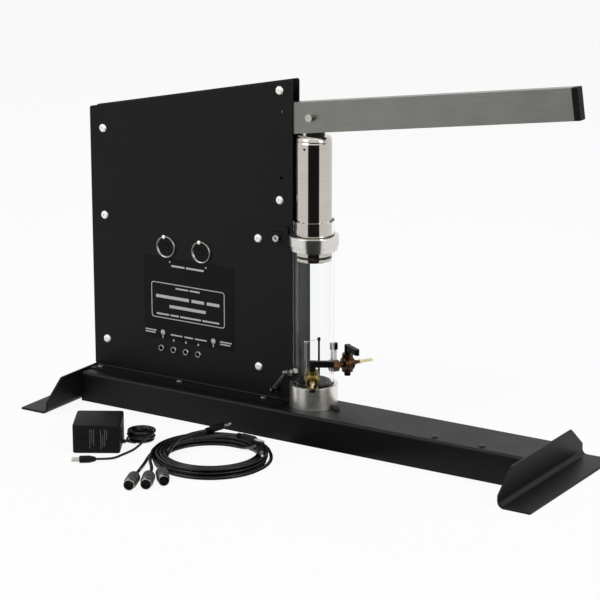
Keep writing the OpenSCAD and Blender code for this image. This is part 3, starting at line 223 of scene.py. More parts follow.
LEAD_3_OUT = [(-0.0817, -0.1895, 0.0069), (-0.0875, -0.181, 0.0075), (-0.0916, -0.1696, 0.0104),
              (-0.095, -0.156, 0.0143), (-0.0963, -0.142, 0.0173), (-0.0945, -0.128, 0.0181),
              (-0.0905, -0.114, 0.0183), (-0.0845, -0.101, 0.0183)]
# Each cable: its stretch in, its layer in the coil, turns, starting angle, and its stretch out
CABLES = [(LEAD_1_IN, 0, 2.75, 0, LEAD_1_OUT), (LEAD_2_IN, 2, 3.125, 200, LEAD_2_OUT),
          (LEAD_3_IN, 1, 3, 230, LEAD_3_OUT)]


def fold(t):
    """Runs from 0 to 1 and back again, once for each two layers."""
    return abs(t - 2 * floor(t / 2 + 0.5))


def layer_height(t, turns):
    """Layers climbed after t layers. The climb takes the half turn round each reversal."""
    near = floor(t + 0.5)
    return 0 if near < 0.5 else near - 0.5 + max(-0.5, min(0.5, 2 * (t - near) * turns))


def coil(at, up, radius, step, turns, start, layers=1):
    """Points of a coil that runs clockwise from an angle in degrees, inwards first."""
    points = []
    for i in range(floor(turns * layers * RINGS_PER_TURN) + 1):
        t = i / RINGS_PER_TURN / turns
        r = radius - step * turns * fold(t)
        angle = radians(start - 360 * i / RINGS_PER_TURN)
        climb = min(layers - 1, layer_height(t, turns)) if layers > 1 else 0
        points.append((at[0] + r * cos(angle), at[1] + r * sin(angle), up + step * climb))
    return points


# %% [markdown]
# ## From a route to a cord
# Neighbouring stretches share their end points, so doubles are dropped before the
# points become one spline. A Bezier spline with automatic handles passes through each
# point on a smooth line, as a stiff little cable does.

# %% Cord curves
def cord_curve(name, stretches, diameter, material):
    """One open spline through all stretches, with a round jacket."""
    points = []
    for stretch in stretches:
        for p in stretch:
            if not points or (Vector(p) - Vector(points[-1])).length > diameter / 4:
                points.append(p)
    data = bpy.data.curves.new(name, "CURVE")
    data.dimensions = "3D"
    data.bevel_depth = diameter / 2
    data.bevel_resolution = 4
    data.resolution_u = 4
    data.use_fill_caps = True
    spline = data.splines.new("BEZIER")
    spline.bezier_points.add(len(points) - 1)
    for knot, p in zip(spline.bezier_points, points):
        knot.co = p
        knot.handle_left_type = knot.handle_right_type = "AUTO"
    cord = bpy.data.objects.new(name, data)
    bpy.context.scene.collection.objects.link(cord)
    data.materials.append(material)
    bpy.context.view_layer.update()
    return cord, round(sum(s.calc_length() for s in data.splines), 4)


for i, (lead_in, layer, turns, start, lead_out) in enumerate(CABLES, 1):
    turns_here = coil(COIL_AT, COIL_FIRST_UP + layer * CABLE_STEP, COIL_R, CABLE_STEP, turns, start)
    cable, cable_length = cord_curve(f"cable_{i}", [lead_in, turns_here, lead_out], CABLE_D, SIGNAL_JACKET)
    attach(cable, "frame")
    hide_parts(f"cable_{i}_coil", f"cable_{i}_leads")
    print(cable.name, "length", cable_length, "m")

# %% [markdown]
# ## The adapter's lead
# The wall adapter stands beside the base with its lead wound into a small coil, as it
# comes out of the box. The lead is thinner than the signal cables, so its coil can be
# tight: four layers, each a little over two turns. It ends in a barrel plug.

# %% Route of the adapter's lead
LEAD_D = 3 * MM
LEAD_STEP = 3.5 * MM
HANK_AT = (-0.164, -0.127)
HANK_R = 17.2 * MM
HANK_FIRST_UP = 1.6 * MM
HANK_TURNS = 2.375
HANK_LAYERS = 4
HANK_START = 230
POWER_IN = [(-0.1672, -0.1632, 0.008), (-0.1622, -0.1602, 0.008), (-0.1569, -0.156, 0.0065),
            (-0.1562, -0.15, 0.0043), (-0.16, -0.146, 0.0026), (-0.167, -0.1435, 0.0018),
            (-0.1751, -0.1402, 0.0016)]
POWER_OUT = [(-0.1529, -0.1138, 0.0121), (-0.1485, -0.1195, 0.0121), (-0.1464, -0.128, 0.0118),
             (-0.1458, -0.137, 0.0105), (-0.1456, -0.147, 0.0075), (-0.1456, -0.157, 0.0045),
             (-0.146, -0.167, 0.0023), (-0.1468, -0.178, 0.0016), (-0.1475, -0.19, 0.0016),
             (-0.148, -0.202, 0.0018), (-0.1498, -0.212, 0.003), (-0.1536, -0.22, 0.0043),
             (-0.16, -0.226, 0.0047)]
hank = coil(HANK_AT, HANK_FIRST_UP, HANK_R, LEAD_STEP, HANK_TURNS, HANK_START, HANK_LAYERS)
power_lead, power_lead_length = cord_curve("power_lead", [POWER_IN, hank, POWER_OUT], LEAD_D, LEAD_JACKET)
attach(power_lead, "frame")
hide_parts("adapter_hank", "adapter_leads")
print("power lead length", power_lead_length, "m")

# %% [markdown]
# ## Painted steel and bare metals
# The base, feet, panel and cover are folded steel sheet with a black powder coat. The
# powder melts to a skin with a fine orange peel, about a millimetre across, and it is
# satin: it shows soft highlights but no clear reflection. Colour varies only a little.
# A black this deep also reflects less than the usual 4 %, so its specular is lowered.

# %% Powder coat
POWDER_COAT = finish("black_powder_coated_steel", "#070707", "#0d0d0e", (0.38, 0.52), grain_mm=1.1,
                     lift_mm=0.035, cloud_mm=70, Specular_IOR_Level=0.16)
PANEL_COAT = finish("black_powder_coated_panel", "#0d0d0d", "#131314", (0.42, 0.56), grain_mm=1.0,
                    lift_mm=0.03, cloud_mm=90, Specular_IOR_Level=0.14)
print("coats:", POWDER_COAT.name, PANEL_COAT.name)

# %% [markdown]
# Drawn aluminium keeps long streaks from the die. They run along the bar, so the grain
# is stretched along the lever, and the pattern is turned by the lever's tilt. The
# piston is turned and polished: its marks run round it, far too fine to see one by
# one, so they are drawn a little coarser than they are, as a low lift along its height.
# Small fittings are plated: nickel, dull zinc or black oxide. On some nickel the colour is near white, a
# painted reflection of the room, and on the gas fitting it is dark, painted shade. The two stopcocks differ:
# one is olive brass, and the other is brown, with the shade on its barrel painted in as a darker colour.

# %% Bare metals
LEVER_TILT = 8.373
# The bar came out of a die: long streaks spread its highlight across
DRAWN_ALUMINIUM = finish("drawn_aluminium", "#72726e", "#888883", (0.34, 0.46), grain_mm=0.7, lift_mm=0.012,
                         metallic=1.0, stretch=(70, 1, 1), turn=(0, radians(LEVER_TILT), 0))
# Ground and polished: a clear mirror, warm and only slightly broken up
POLISHED_PISTON = finish("polished_stainless_piston", "#b9b2ac", "#c9c2bb", (0.05, 0.09), grain_mm=0.8,
                         lift_mm=0.002, metallic=1.0, stretch=(90, 90, 1), cloud_mm=25)
# Turned: rings round the axis draw the highlight out
POLISHED_ALUMINIUM = finish("turned_aluminium", "#c9c7c2", "#dedcd8", (0.16, 0.26), grain_mm=0.6,
                            lift_mm=0.006, metallic=1.0, stretch=(60, 60, 1), cloud_mm=20)
# Bead blasted: pale, with a soft sheen and no clear reflection
CAST_ALUMINIUM = finish("bead_blasted_aluminium", "#dedbd3", "#efece4", (0.24, 0.36), grain_mm=0.7,
                        lift_mm=0.012, metallic=1.0, cloud_mm=16)
# Plate over smooth steel: grey, and bright where it faces a lamp
NICKEL = finish("nickel_plated_steel", "#a9a6a0", "#c4c1bb", (0.14, 0.26), grain_mm=0.8, lift_mm=0.004,
                metallic=1.0, cloud_mm=6)
# Nickel plate on small domes, its near-white colour a painted reflection of the white room: almost white from
# any side
REFLECTION_PAINTED_NICKEL = finish("nickel_with_painted_reflection", "#efece6", "#fbf9f5", (0.4, 0.52), grain_mm=0.8,
                       lift_mm=0.003, metallic=0.75, cloud_mm=6)
# Zinc goes dull and grey indoors
DULL_ZINC = finish("dull_zinc_plate", "#5c5b59", "#7d7b78", (0.34, 0.48), grain_mm=0.6, lift_mm=0.003,
                   metallic=0.8, cloud_mm=5)
# A fitting in the cylinder's shade: that shade is painted into the nickel as a dark colour, with small sharp
# highlights
SHADE_PAINTED_NICKEL = finish("nickel_with_painted_shade", "#3f3e3c", "#6c6a66", (0.12, 0.22), grain_mm=0.6, lift_mm=0.002,
                     metallic=1.0, cloud_mm=5)
# Fresh drawn brass, much paler than the bodies
CREAM_BRASS = finish("pale_drawn_brass", "#c9b98a", "#e2d5ab", (0.2, 0.32), grain_mm=0.5, lift_mm=0.002,
                     metallic=0.8, cloud_mm=6)
# Black oxide: a dark skin that keeps a slight sheen of the metal
BLACKENED_STEEL = finish("black_oxide_steel", "#161616", "#232323", (0.3, 0.42), grain_mm=0.7,
                         lift_mm=0.004, metallic=0.4, cloud_mm=5)
# A satin plate spreads the lamps over a wide highlight
SATIN_NICKEL = finish("satin_nickel_plate", "#8e8c88", "#a8a6a1", (0.24, 0.36), grain_mm=0.8, lift_mm=0.004,
                      metallic=1.0, cloud_mm=6)
# Turned brass with an olive cast and clean edges
CLEAN_BRASS = finish("turned_brass", "#4c4222", "#847640", (0.22, 0.38), grain_mm=0.8, lift_mm=0.008,
                     metallic=1.0, cloud_mm=7)
# Brown brass with clouds of tarnish, darker still because the shade on its barrel is painted into its colour
BROWN_BRASS_WITH_PAINTED_SHADE = finish("brown_brass_with_painted_shade", "#2c1e16", "#573c2a", (0.26, 0.42), grain_mm=0.8, lift_mm=0.008,
                    metallic=1.0, cloud_mm=7)
# Sintered from powder: porous, oiled and almost matt
BRONZE = finish("sintered_bronze", "#7a5632", "#936b41", (0.4, 0.55), grain_mm=0.5, lift_mm=0.015,
                metallic=1.0)
print("last of the metals:", BRONZE.name)

# %% [markdown]
# Plastics differ by how they were made. ABS mouldings have a fine spark-eroded texture
# and stay dull, acetal handles are smoother, and nitrile rubber is almost matt.

# %% Plastics and rubber
# A spark-eroded mould leaves an even grain that scatters the light
MOULDED_ABS = finish("moulded_black_abs", "#070708", "#0f0f10", (0.45, 0.6), grain_mm=0.6, lift_mm=0.03,
                     cloud_mm=22, Specular_IOR_Level=0.12)
# Smooth and a little waxy, with a soft highlight
BLACK_ACETAL = finish("black_acetal", "#050505", "#0b0b0b", (0.36, 0.48), grain_mm=0.9, lift_mm=0.01,
                      cloud_mm=12, Specular_IOR_Level=0.12)
# The plug's body is hard PVC, and its boot a softer one, a shade lighter
GREY_BODY = finish("moulded_dark_grey_pvc", "#2c2c2c", "#3c3c3c", (0.42, 0.55), grain_mm=0.7, lift_mm=0.02,
                   cloud_mm=9)
GREY_BOOT = finish("soft_grey_pvc_boot", "#353535", "#464646", (0.45, 0.58), grain_mm=0.8, lift_mm=0.02,
                   cloud_mm=8)
# Nylon is slightly waxy: a broad, weak highlight
GREY_NYLON = finish("grey_nylon", "#8d9090", "#a3a6a5", (0.34, 0.46), grain_mm=0.8, lift_mm=0.02,
                    cloud_mm=10)
# Tinted hose, smooth from the extruder, with a wet gloss
SMOKED_PVC = finish("smoked_pvc_hose", "#2e3030", "#454848", (0.3, 0.42), grain_mm=1.0, lift_mm=0.02,
                    cloud_mm=12)
# The same nylon in white, for the bleed riser
WHITE_NYLON = finish("white_nylon", "#dcdad4", "#efeee9", (0.32, 0.42), grain_mm=0.8, lift_mm=0.01,
                     cloud_mm=8)
# Rubber of the seals and the stop: almost matt
NITRILE = finish("nitrile_rubber", "#0e0e0e", "#181818", (0.5, 0.65), grain_mm=0.7, lift_mm=0.02,
                 cloud_mm=9)
# Faint ink on the adapter, and the denser greyish ink of the label
PAD_PRINT = finish("grey_pad_print", "#3c3c3c", "#505050", (0.5, 0.62), grain_mm=0.5, lift_mm=0.002,
                   cloud_mm=7)
WHITE_INK = finish("white_screen_ink", "#a9a9a7", "#c4c4c2", (0.42, 0.52), grain_mm=0.5, lift_mm=0.004,
                   cloud_mm=6)
# The film is smoother than the coat round it, and a deeper black
LABEL_FILM = finish("black_polyester_label", "#040404", "#080808", (0.4, 0.5), grain_mm=0.7, lift_mm=0.004,
                    cloud_mm=60, Specular_IOR_Level=0.12)
print("last of the plastics:", LABEL_FILM.name)

# %% [markdown]
# ## Clear acrylic
# The cylinder is a cast acrylic tube. Acrylic has an index of 1.49, and each of the four
# walls that a ray passes then reflects 4 % of the room. A studio is dark around a lit
# table, but this room is white, so the index is lowered until the tube reflects as much
# as it would there. Handling leaves fine scratches up and down, so the gloss is broken
# by streaks that are long along the axis.

# %% Acrylic
SCRATCH_MM = 0.9
SCRATCH_STRETCH = 0.02
ACRYLIC, tree, shader = new_material("cast_acrylic", IOR=1.18, Transmission_Weight=1.0)
shader.inputs["Base Color"].default_value = linear("#fdfefe")
coords = add_node(tree, "TexCoord").outputs["Object"]
streaks = add_node(tree, "Mapping", inputs={"Vector": coords, "Scale": (1, 1, SCRATCH_STRETCH)})
scratches = add_node(tree, "TexNoise", inputs={"Vector": streaks.outputs[0], "Scale": 1 / (SCRATCH_MM * MM),
                                               "Detail": 3})
haze = add_node(tree, "MapRange", inputs={"Value": scratches.outputs["Fac"], "From Min": 0.45,
                                          "From Max": 0.75, "To Min": 0.02, "To Max": 0.09})
tree.links.new(haze.outputs[0], shader.inputs["Roughness"])
print("clear:", ACRYLIC.name)

# %% [markdown]
# ## The circuit board
# Behind the panel sits a board of glass laminate under a green solder mask. Copper
# tracks show through the mask as lighter lines. They follow a square grid, so two
# sets of thin bands, kept only where a coarse noise allows, give believable routing.

# %% Circuit board
BOARD, tree, shader = new_material("solder_masked_laminate", Coat_Weight=0.3)
coords = add_node(tree, "TexCoord").outputs["Object"]
TRACK_MM = 2.54
PATCH_MM = 22
# A wave texture of scale 1 repeats after this many metres
WAVE_PERIOD = 0.314
bands = []
for direction in ("X", "Z"):
    band = add_node(tree, "TexWave", {"bands_direction": direction},
                    {"Vector": coords, "Scale": WAVE_PERIOD / (TRACK_MM * MM)})
    bands.append(add_node(tree, "Math", {"operation": "GREATER_THAN"}, {0: band.outputs["Fac"], 1: 0.86}))
patch = add_node(tree, "TexNoise", inputs={"Vector": coords, "Scale": 1 / (PATCH_MM * MM), "Detail": 0})
side = add_node(tree, "Math", {"operation": "GREATER_THAN"}, {0: patch.outputs["Fac"], 1: 0.5})
track = add_node(tree, "Mix", {"data_type": "FLOAT"},
                 {"Factor": side.outputs[0], 2: bands[0].outputs[0], 3: bands[1].outputs[0]})
colour = add_node(tree, "Mix", {"data_type": "RGBA"},
                  {"Factor": track.outputs[0], 6: linear("#0f3d24"), 7: linear("#2a6b41")})
mask_lift = add_node(tree, "Bump", inputs={"Height": track.outputs[0], "Distance": 0.035 * MM})
mask_gloss = add_node(tree, "MapRange", inputs={"Value": patch.outputs["Fac"], "To Min": 0.25, "To Max": 0.4})
tree.links.new(colour.outputs[2], shader.inputs["Base Color"])
tree.links.new(mask_lift.outputs[0], shader.inputs["Normal"])
tree.links.new(mask_gloss.outputs[0], shader.inputs["Roughness"])
print("board:", BOARD.name)

# %% [markdown]
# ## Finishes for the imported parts
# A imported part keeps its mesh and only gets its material. The table says which part is
# made of what, in the order in which someone would build the apparatus.

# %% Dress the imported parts
DRESS = {POWDER_COAT: ["base_channel", "left_foot", "right_foot", "rear_cover"],
         PANEL_COAT: ["front_plate", "rear_plate", "collar_bracket"],
         DRAWN_ALUMINIUM: ["lever_bar", "plate_spacers", "volume_sensor_slider"],
         POLISHED_PISTON: ["piston", "piston_cap"],
         POLISHED_ALUMINIUM: ["tube_collar"],
         CAST_ALUMINIUM: ["base_cup"],
         NICKEL: ["base_screws", "panel_screws", "panel_nuts", "pivot_bolt", "lever_pin", "sensor_posts",
                  "board_standoffs", "socket_rings", "jack_bushings", "adapter_blades"],
         # The gas fitting and its sensor: nickel with the cylinder's shade painted into its colour
         SHADE_PAINTED_NICKEL: ["pressure_fitting", "pressure_sensor"],
         CLEAN_BRASS: ["front_stopcock_body", "front_stopcock_plug"],
         BROWN_BRASS_WITH_PAINTED_SHADE: ["rear_stopcock_body", "rear_stopcock_plug"],
         BRONZE: ["pivot_bushing"],
         ACRYLIC: ["cylinder_tube"],
         MOULDED_ABS: ["lever_end_cap", "volume_sensor_track", "power_socket", "adapter_body", "power_plug",
                       "phone_plugs"],
         BLACK_ACETAL: ["crosshead_block", "cylinder_plug", "front_stopcock_handle", "rear_stopcock_handle",
                        "bleed_cap", "socket_cores", "jack_inserts", "piston_set_screw"],
         GREY_NYLON: ["din_plugs"],
         SMOKED_PVC: ["pressure_hose"],
         WHITE_NYLON: ["bleed_riser"],
         NITRILE: ["piston_seal_rings"],
         LABEL_FILM: ["label_plate"],
         BOARD: ["circuit_board"]}

for material, names in DRESS.items():
    for name in names:
        nodes[name].data.materials.clear()
        nodes[name].data.materials.append(material)
bare = [n for n in nodes if not any(n in names for names in DRESS.values())]
print("parts still without a finish of their own:", bare)

# %% [markdown]
# ## Studio floor and light
# The floor and the world are plain. What the camera sees of them is close to white, and
# glass and metal see the same white, so they look as they would on a photographer's
# table. One thing is not white in such a studio: the dark room behind the camera. It
# shows as a black stripe down polished metal, so reflections find the floor dark in that
# one direction. The light is soft: one large lamp from the upper left, a weaker one
# from the right, one from above, and an even glow from the world.

# %% Floor
FLOOR_SIZE = 12
FLOOR_GLOW = 0.9
# The dark room: its direction, the cosine at its outer and inner edge, and how dark it is
DARK_TOWARDS = (0.5, -0.866, 0)
DARK_EDGE = (0.79, 0.83)
DARK_SHARE = 0.985


def seen_rays(tree):
    """1 for the rays that should find white: the camera's and those of glass and gloss. Also gloss alone."""
    rays = add_node(tree, "LightPath").outputs
    clear = add_node(tree, "Math", {"operation": "MAXIMUM"},
                     {0: rays["Is Camera Ray"], 1: rays["Is Transmission Ray"]})
    seen = add_node(tree, "Math", {"operation": "MAXIMUM"}, {0: clear.outputs[0], 1: rays["Is Glossy Ray"]})
    return seen.outputs[0], rays["Is Glossy Ray"]


bm = bmesh.new()
bmesh.ops.create_grid(bm, x_segments=1, y_segments=1, size=FLOOR_SIZE / 2)
floor_mesh = bpy.data.meshes.new("studio_floor")
bm.to_mesh(floor_mesh)
bm.free()
floor_sheet = bpy.data.objects.new("studio_floor", floor_mesh)
bpy.context.scene.collection.objects.link(floor_sheet)

paper, tree, shader = new_material("white_paper_floor", Roughness=0.9)
shader.inputs["Base Color"].default_value = linear("#e6e6e4")
seen, glossy = seen_rays(tree)
seen_part = add_node(tree, "Math", {"operation": "MULTIPLY"}, {0: seen, 1: FLOOR_GLOW})
glow = add_node(tree, "Emission", inputs={"Color": linear("#ffffff"), "Strength": 1.0})
both = add_node(tree, "MixShader", inputs={0: seen_part.outputs[0], 1: shader.outputs[0], 2: glow.outputs[0]})
coords = add_node(tree, "TexCoord").outputs["Object"]
outward = add_node(tree, "VectorMath", {"operation": "NORMALIZE"}, {0: coords})
ahead = add_node(tree, "VectorMath", {"operation": "DOT_PRODUCT"}, {0: outward.outputs[0], 1: DARK_TOWARDS})
in_dark = add_node(tree, "MapRange", inputs={"Value": ahead.outputs["Value"], "From Min": DARK_EDGE[0],
                                             "From Max": DARK_EDGE[1]})
mirrored = add_node(tree, "Math", {"operation": "MULTIPLY"}, {0: glossy, 1: in_dark.outputs[0]})
dark_part = add_node(tree, "Math", {"operation": "MULTIPLY"}, {0: mirrored.outputs[0], 1: DARK_SHARE})
dark = add_node(tree, "Emission", inputs={"Color": linear("#000000"), "Strength": 0.0})
whole = add_node(tree, "MixShader", inputs={0: dark_part.outputs[0], 1: both.outputs[0], 2: dark.outputs[0]})
tree.links.new(whole.outputs[0], tree.nodes["Material Output"].inputs["Surface"])
floor_mesh.materials.append(paper)
print("floor:", FLOOR_SIZE, "m across")

# %% World and lamps
world = bpy.data.worlds.new("studio")
bpy.context.scene.world = world
world.use_nodes = True
tree = world.node_tree
tree.nodes.clear()
seen, _ = seen_rays(tree)
room = add_node(tree, "Background", inputs={"Color": linear("#dfe2e6"), "Strength": 0.55})
white = add_node(tree, "Background", inputs={"Color": linear("#ffffff"), "Strength": 1.0})
mixed = add_node(tree, "MixShader", inputs={0: seen, 1: room.outputs[0], 2: white.outputs[0]})
add_node(tree, "OutputWorld", inputs={"Surface": mixed.outputs[0]})
LAMPS_FACE = (0, 0, 0.2)


def soft_lamp(name, at, size, power):
    """A large rectangular lamp that faces the middle of the apparatus."""
    lamp = bpy.data.lights.new(name, "AREA")
    lamp.shape = "RECTANGLE"
    lamp.size, lamp.size_y = size
    lamp.energy = power
    holder = bpy.data.objects.new(name, lamp)
    holder.location = at
    holder.rotation_euler = (Vector(LAMPS_FACE) - Vector(at)).to_track_quat("-Z", "Y").to_euler()
    bpy.context.scene.collection.objects.link(holder)


soft_lamp("key_softbox", (-1.1, -1.6, 1.9), (1.4, 1.0), 26)
soft_lamp("side_softbox", (1.9, -0.3, 1.2), (0.8, 1.4), 14)
soft_lamp("top_softbox", (0, 0.6, 2.2), (1.6, 1.2), 14)
bpy.context.scene.view_settings.view_transform = "Standard"

# %% [markdown]
# ## Rounded edges
# No real edge is razor sharp: a sheared sheet, a sawn tube and a moulded handle all have
# a small radius, and that radius catches the light as a thin bright line. The packed
# parts have sharp edges, so each gets a merged copy with a Bevel modifier of its own
# radius. Only edges that turn by more than 35 degrees are rounded, so that the sides
# of a cylinder stay smooth. Weighted normals keep the large faces flat to the light.

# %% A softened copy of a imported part
SHARP = radians(35)
NEARLY_FLAT = radians(0.6)
WELD = 0.005 * MM


def soften(name, radius_mm):
    """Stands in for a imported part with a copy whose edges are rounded."""
    part = nodes[name]
    bm = bmesh.new()
    bm.from_mesh(part.data)
    bmesh.ops.remove_doubles(bm, verts=bm.verts, dist=WELD)
    bmesh.ops.dissolve_limit(bm, angle_limit=NEARLY_FLAT, verts=bm.verts, edges=bm.edges)
    for face in bm.faces:
        face.smooth = True
    mesh = bpy.data.meshes.new(name + "_soft")
    bm.to_mesh(mesh)
    bm.free()
    mesh.materials.append(part.data.materials[0])
    copy = bpy.data.objects.new(name + "_soft", mesh)
    bpy.context.scene.collection.objects.link(copy)
    edge = copy.modifiers.new("edge_radius", "BEVEL")
    edge.width = radius_mm * MM
    edge.segments = 2
    edge.limit_method = "ANGLE"
    edge.angle_limit = SHARP
    edge.use_clamp_overlap = True
    flats = copy.modifiers.new("flat_faces", "WEIGHTED_NORMAL")
    flats.weight = 100
    flats.keep_sharp = True
    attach(copy, body_of(part)[0])
    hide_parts(name)
    return copy


# %% Edge radii
EDGE_MM = {"base_channel": 0.7, "left_foot": 0.9, "right_foot": 0.9, "front_plate": 0.35,
           "rear_plate": 0.35, "rear_cover": 0.6, "lever_bar": 0.5, "lever_end_cap": 1.3,
           "tube_collar": 0.5, "base_cup": 0.7, "crosshead_block": 0.6, "collar_bracket": 0.4,
           "volume_sensor_slider": 0.4, "volume_sensor_track": 0.4, "front_stopcock_handle": 1.2,
           "rear_stopcock_handle": 1.2, "front_stopcock_body": 0.35, "rear_stopcock_body": 0.35,
           "pressure_fitting": 0.3, "panel_nuts": 0.35, "piston_cap": 0.4, "piston": 0.25,
           "pressure_sensor": 0.4, "plate_spacers": 0.3, "lever_pin": 0.6, "cylinder_plug": 0.5,
           "power_socket": 0.4}
softened = [soften(name, radius) for name, radius in EDGE_MM.items()]
print("softened parts:", len(softened))

# %% [markdown]
# ## Turned pieces
# Screws, plugs, nuts and knobs are turned on a lathe, and a lathe is easy to copy: draw
# half of the section as a line of radius and height, and spin it about its axis. The
# radius at a pole is zero, so its copies are merged. A recess for a hex key is the same
# line pushed out to a hexagon where it is narrow enough. Each shape is made about the
# origin, a matrix puts it in its place, and all the shapes of a piece become one mesh.

# %% A lathe
SIXTH = radians(60)


def turned(profile, steps=32, hex_inside=0):
    """Spins a line of (radius, height) in millimetres about Z. Rings within hex_inside become hexagons."""
    bm = bmesh.new()
    line = [bm.verts.new((r * MM, 0, h * MM)) for r, h in profile]
    edges = [bm.edges.new(pair) for pair in zip(line, line[1:])]
    bmesh.ops.spin(bm, geom=line + edges, cent=(0, 0, 0), axis=(0, 0, 1), angle=2 * pi, steps=steps,
                   use_merge=True)
    bmesh.ops.remove_doubles(bm, verts=bm.verts, dist=0.001 * MM)
    for v in bm.verts:
        if 0 < hypot(v.co.x, v.co.y) < hex_inside * MM:
            angle = atan2(v.co.y, v.co.x) % SIXTH - SIXTH / 2
            v.co.x, v.co.y = v.co.x * cos(SIXTH / 2) / cos(angle), v.co.y * cos(SIXTH / 2) / cos(angle)
    bmesh.ops.recalc_face_normals(bm, faces=bm.faces)
    return bm


def block(size, radius=0.0):
    """A box of a size in millimetres about the origin, with rounded edges."""
    bm = bmesh.new()
    bmesh.ops.create_cube(bm, size=1)
    bmesh.ops.scale(bm, vec=[s * MM for s in size], verts=bm.verts)
    if radius:
        bmesh.ops.bevel(bm, geom=list(bm.edges), offset=radius * MM, segments=2, profile=0.5, affect="EDGES",
                        material=-1)
    return bm


# %% Places and pieces
FORWARD = (0, -1, 0)
BACKWARD = (0, 1, 0)
DOWNWARD = (0, 0, -1)


def place(at, along=(0, 0, 1), turn=0.0):
    """A place in millimetres, with Z turned to a direction, after a turn about it in degrees."""
    facing = Vector(along).to_track_quat("Z", "Y").to_matrix().to_4x4()
    return Matrix.Translation(Vector(at) * MM) @ facing @ Matrix.Rotation(radians(turn), 4, "Z")


def make(name, shapes, material, slot, body="frame", replaces=()):
    """One piece from several shapes, each with its place."""
    whole = bmesh.new()
    for shape, where in shapes:
        bmesh.ops.transform(shape, matrix=where, verts=shape.verts)
        part = bpy.data.meshes.new("part")
        shape.to_mesh(part)
        shape.free()
        whole.from_mesh(part)
        bpy.data.meshes.remove(part)
    for face in whole.faces:
        face.smooth = True
    for edge in whole.edges:
        edge.smooth = len(edge.link_faces) == 2 and edge.calc_face_angle() < SHARP
    mesh = bpy.data.meshes.new(name)
    whole.to_mesh(mesh)
    whole.free()
    mesh.materials.append(material)
    piece = bpy.data.objects.new(name, mesh)
    bpy.context.scene.collection.objects.link(piece)
    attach(piece, body)
    if replaces:
        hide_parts(*replaces)
    print(name, "faces:", len(mesh.polygons))
    return piece


def make_turned(name, profile, steps, where, material, slot, **options):
    """One piece from one turned shape."""
    return make(name, [(turned(profile, steps), where)], material, slot, **options)


# %% [markdown]
# ## Screws
# Six button-head screws clamp the plates over their spacers. They are nickel, and their domes reflect the
# whole room; that reflection is also painted into their near-white colour, so they look almost white from any
# side.
# Six smaller ones of dull zinc hold the panel's lips to the deck. The two on the deck
# and the three under the cup are black oxide. All have a hex recess. A domed cap nut on
# the front plate holds the bracket of the cylinder's collar.

# %% Screw places
AXIS = (5, 6.35)
PANEL_FRONT = -1.9
PANEL_BACK = 14.6
SCREW_AT = [(-305.5, 78), (-305.5, 243.5), (-70.5, 78), (-70.5, 243.5), (-38.7, 295.6), (-38.7, 431.7)]
BRACKET_AT = (-41.5, PANEL_FRONT - 2, 248)
LIP_AT = [(x, y, 40.5) for x in (-312.26, -187.09, -58.86) for y in (-9.46, 22.16)]
DECK_TOP = 39
DECK_AT = [(x, -26, DECK_TOP) for x in (195, 259)]
CUP_CIRCLE = 14
CUP_AT = [(AXIS[0] + CUP_CIRCLE * cos(radians(a)), AXIS[1] + CUP_CIRCLE * sin(radians(a)), DECK_TOP - 2.5)
          for a in (0, 120, 240)]


def button(radius, height, flat, key, shank, length):
    """A domed head with a hex recess, and its shank behind it. Z points out of the head."""
    profile = [(0, height * 0.45), (key * 0.5, height * 0.45), (key * 0.98, height * 0.5), (key, height)]
    steps = 6
    for i in range(steps + 1):
        angle = radians(90 * i / steps)
        profile.append((flat + (radius - flat) * sin(angle), height * (0.25 + 0.75 * cos(angle))))
    profile += [(radius, 0), (shank, 0), (shank, -length), (0, -length)]
    return turned(profile, hex_inside=key * 1.05)


# %% Panel, lip and deck screws
# Each screw: radius and height of its head, radius of the flat, half the key's width, radius of the shank
PANEL_SCREW = (5.3, 2.7, 2.5, 1.7, 2.4)
DECK_SCREW = (4, 2.2, 1.9, 1.3, 1.5)
CUP_SCREW = (4, 2.2, 1.9, 1.3, 2)
PANEL_SHANK = PANEL_BACK - PANEL_FRONT + 4
LIP_SHANK = 7.9
DECK_SHANK = 6.4
CUP_SHANK = 16.5
CAP_NUT = [(0, 1.6), (1.6, 1.6), (1.6, 4.4), (2.2, 5.2), (3.9, 5.2), (4.5, 4.4), (4.5, 0), (0, 0)]
panel_screws = [(button(*PANEL_SCREW, PANEL_SHANK), place((x, PANEL_FRONT, z), FORWARD)) for x, z in SCREW_AT]
make("panel_screw_heads", panel_screws, REFLECTION_PAINTED_NICKEL, "plated_steel", replaces=["panel_screws"])
make_turned("bracket_nut", CAP_NUT, 24, place(BRACKET_AT, FORWARD), NICKEL, "plated_steel")
lip_screws = [(button(*DECK_SCREW, LIP_SHANK), place(at)) for at in LIP_AT]
deck_screws = [(button(*DECK_SCREW, DECK_SHANK), place(at)) for at in DECK_AT]
cup_screws = [(button(*CUP_SCREW, CUP_SHANK), place(at, DOWNWARD)) for at in CUP_AT]
make("lip_screw_heads", lip_screws, DULL_ZINC, "plated_steel", replaces=["base_screws"])
make("deck_screw_heads", deck_screws + cup_screws, BLACKENED_STEEL, "plated_steel")

# %% [markdown]
# ## The printed label
# A black polyester film lies under the sockets. Its marks are screen printed in a greyish
# white: a rounded frame with lines of words, marks over the end jacks, and pointers over
# the middle ones. The model carries no words, so each line of words is a plain bar of the
# same length and height. Ink is a tenth of a millimetre thick at most, so each mark is
# a slab of little more than that, which stands just proud of the film.

# %% Ink marks
LABEL_FRONT = -2.4
INK = 0.12


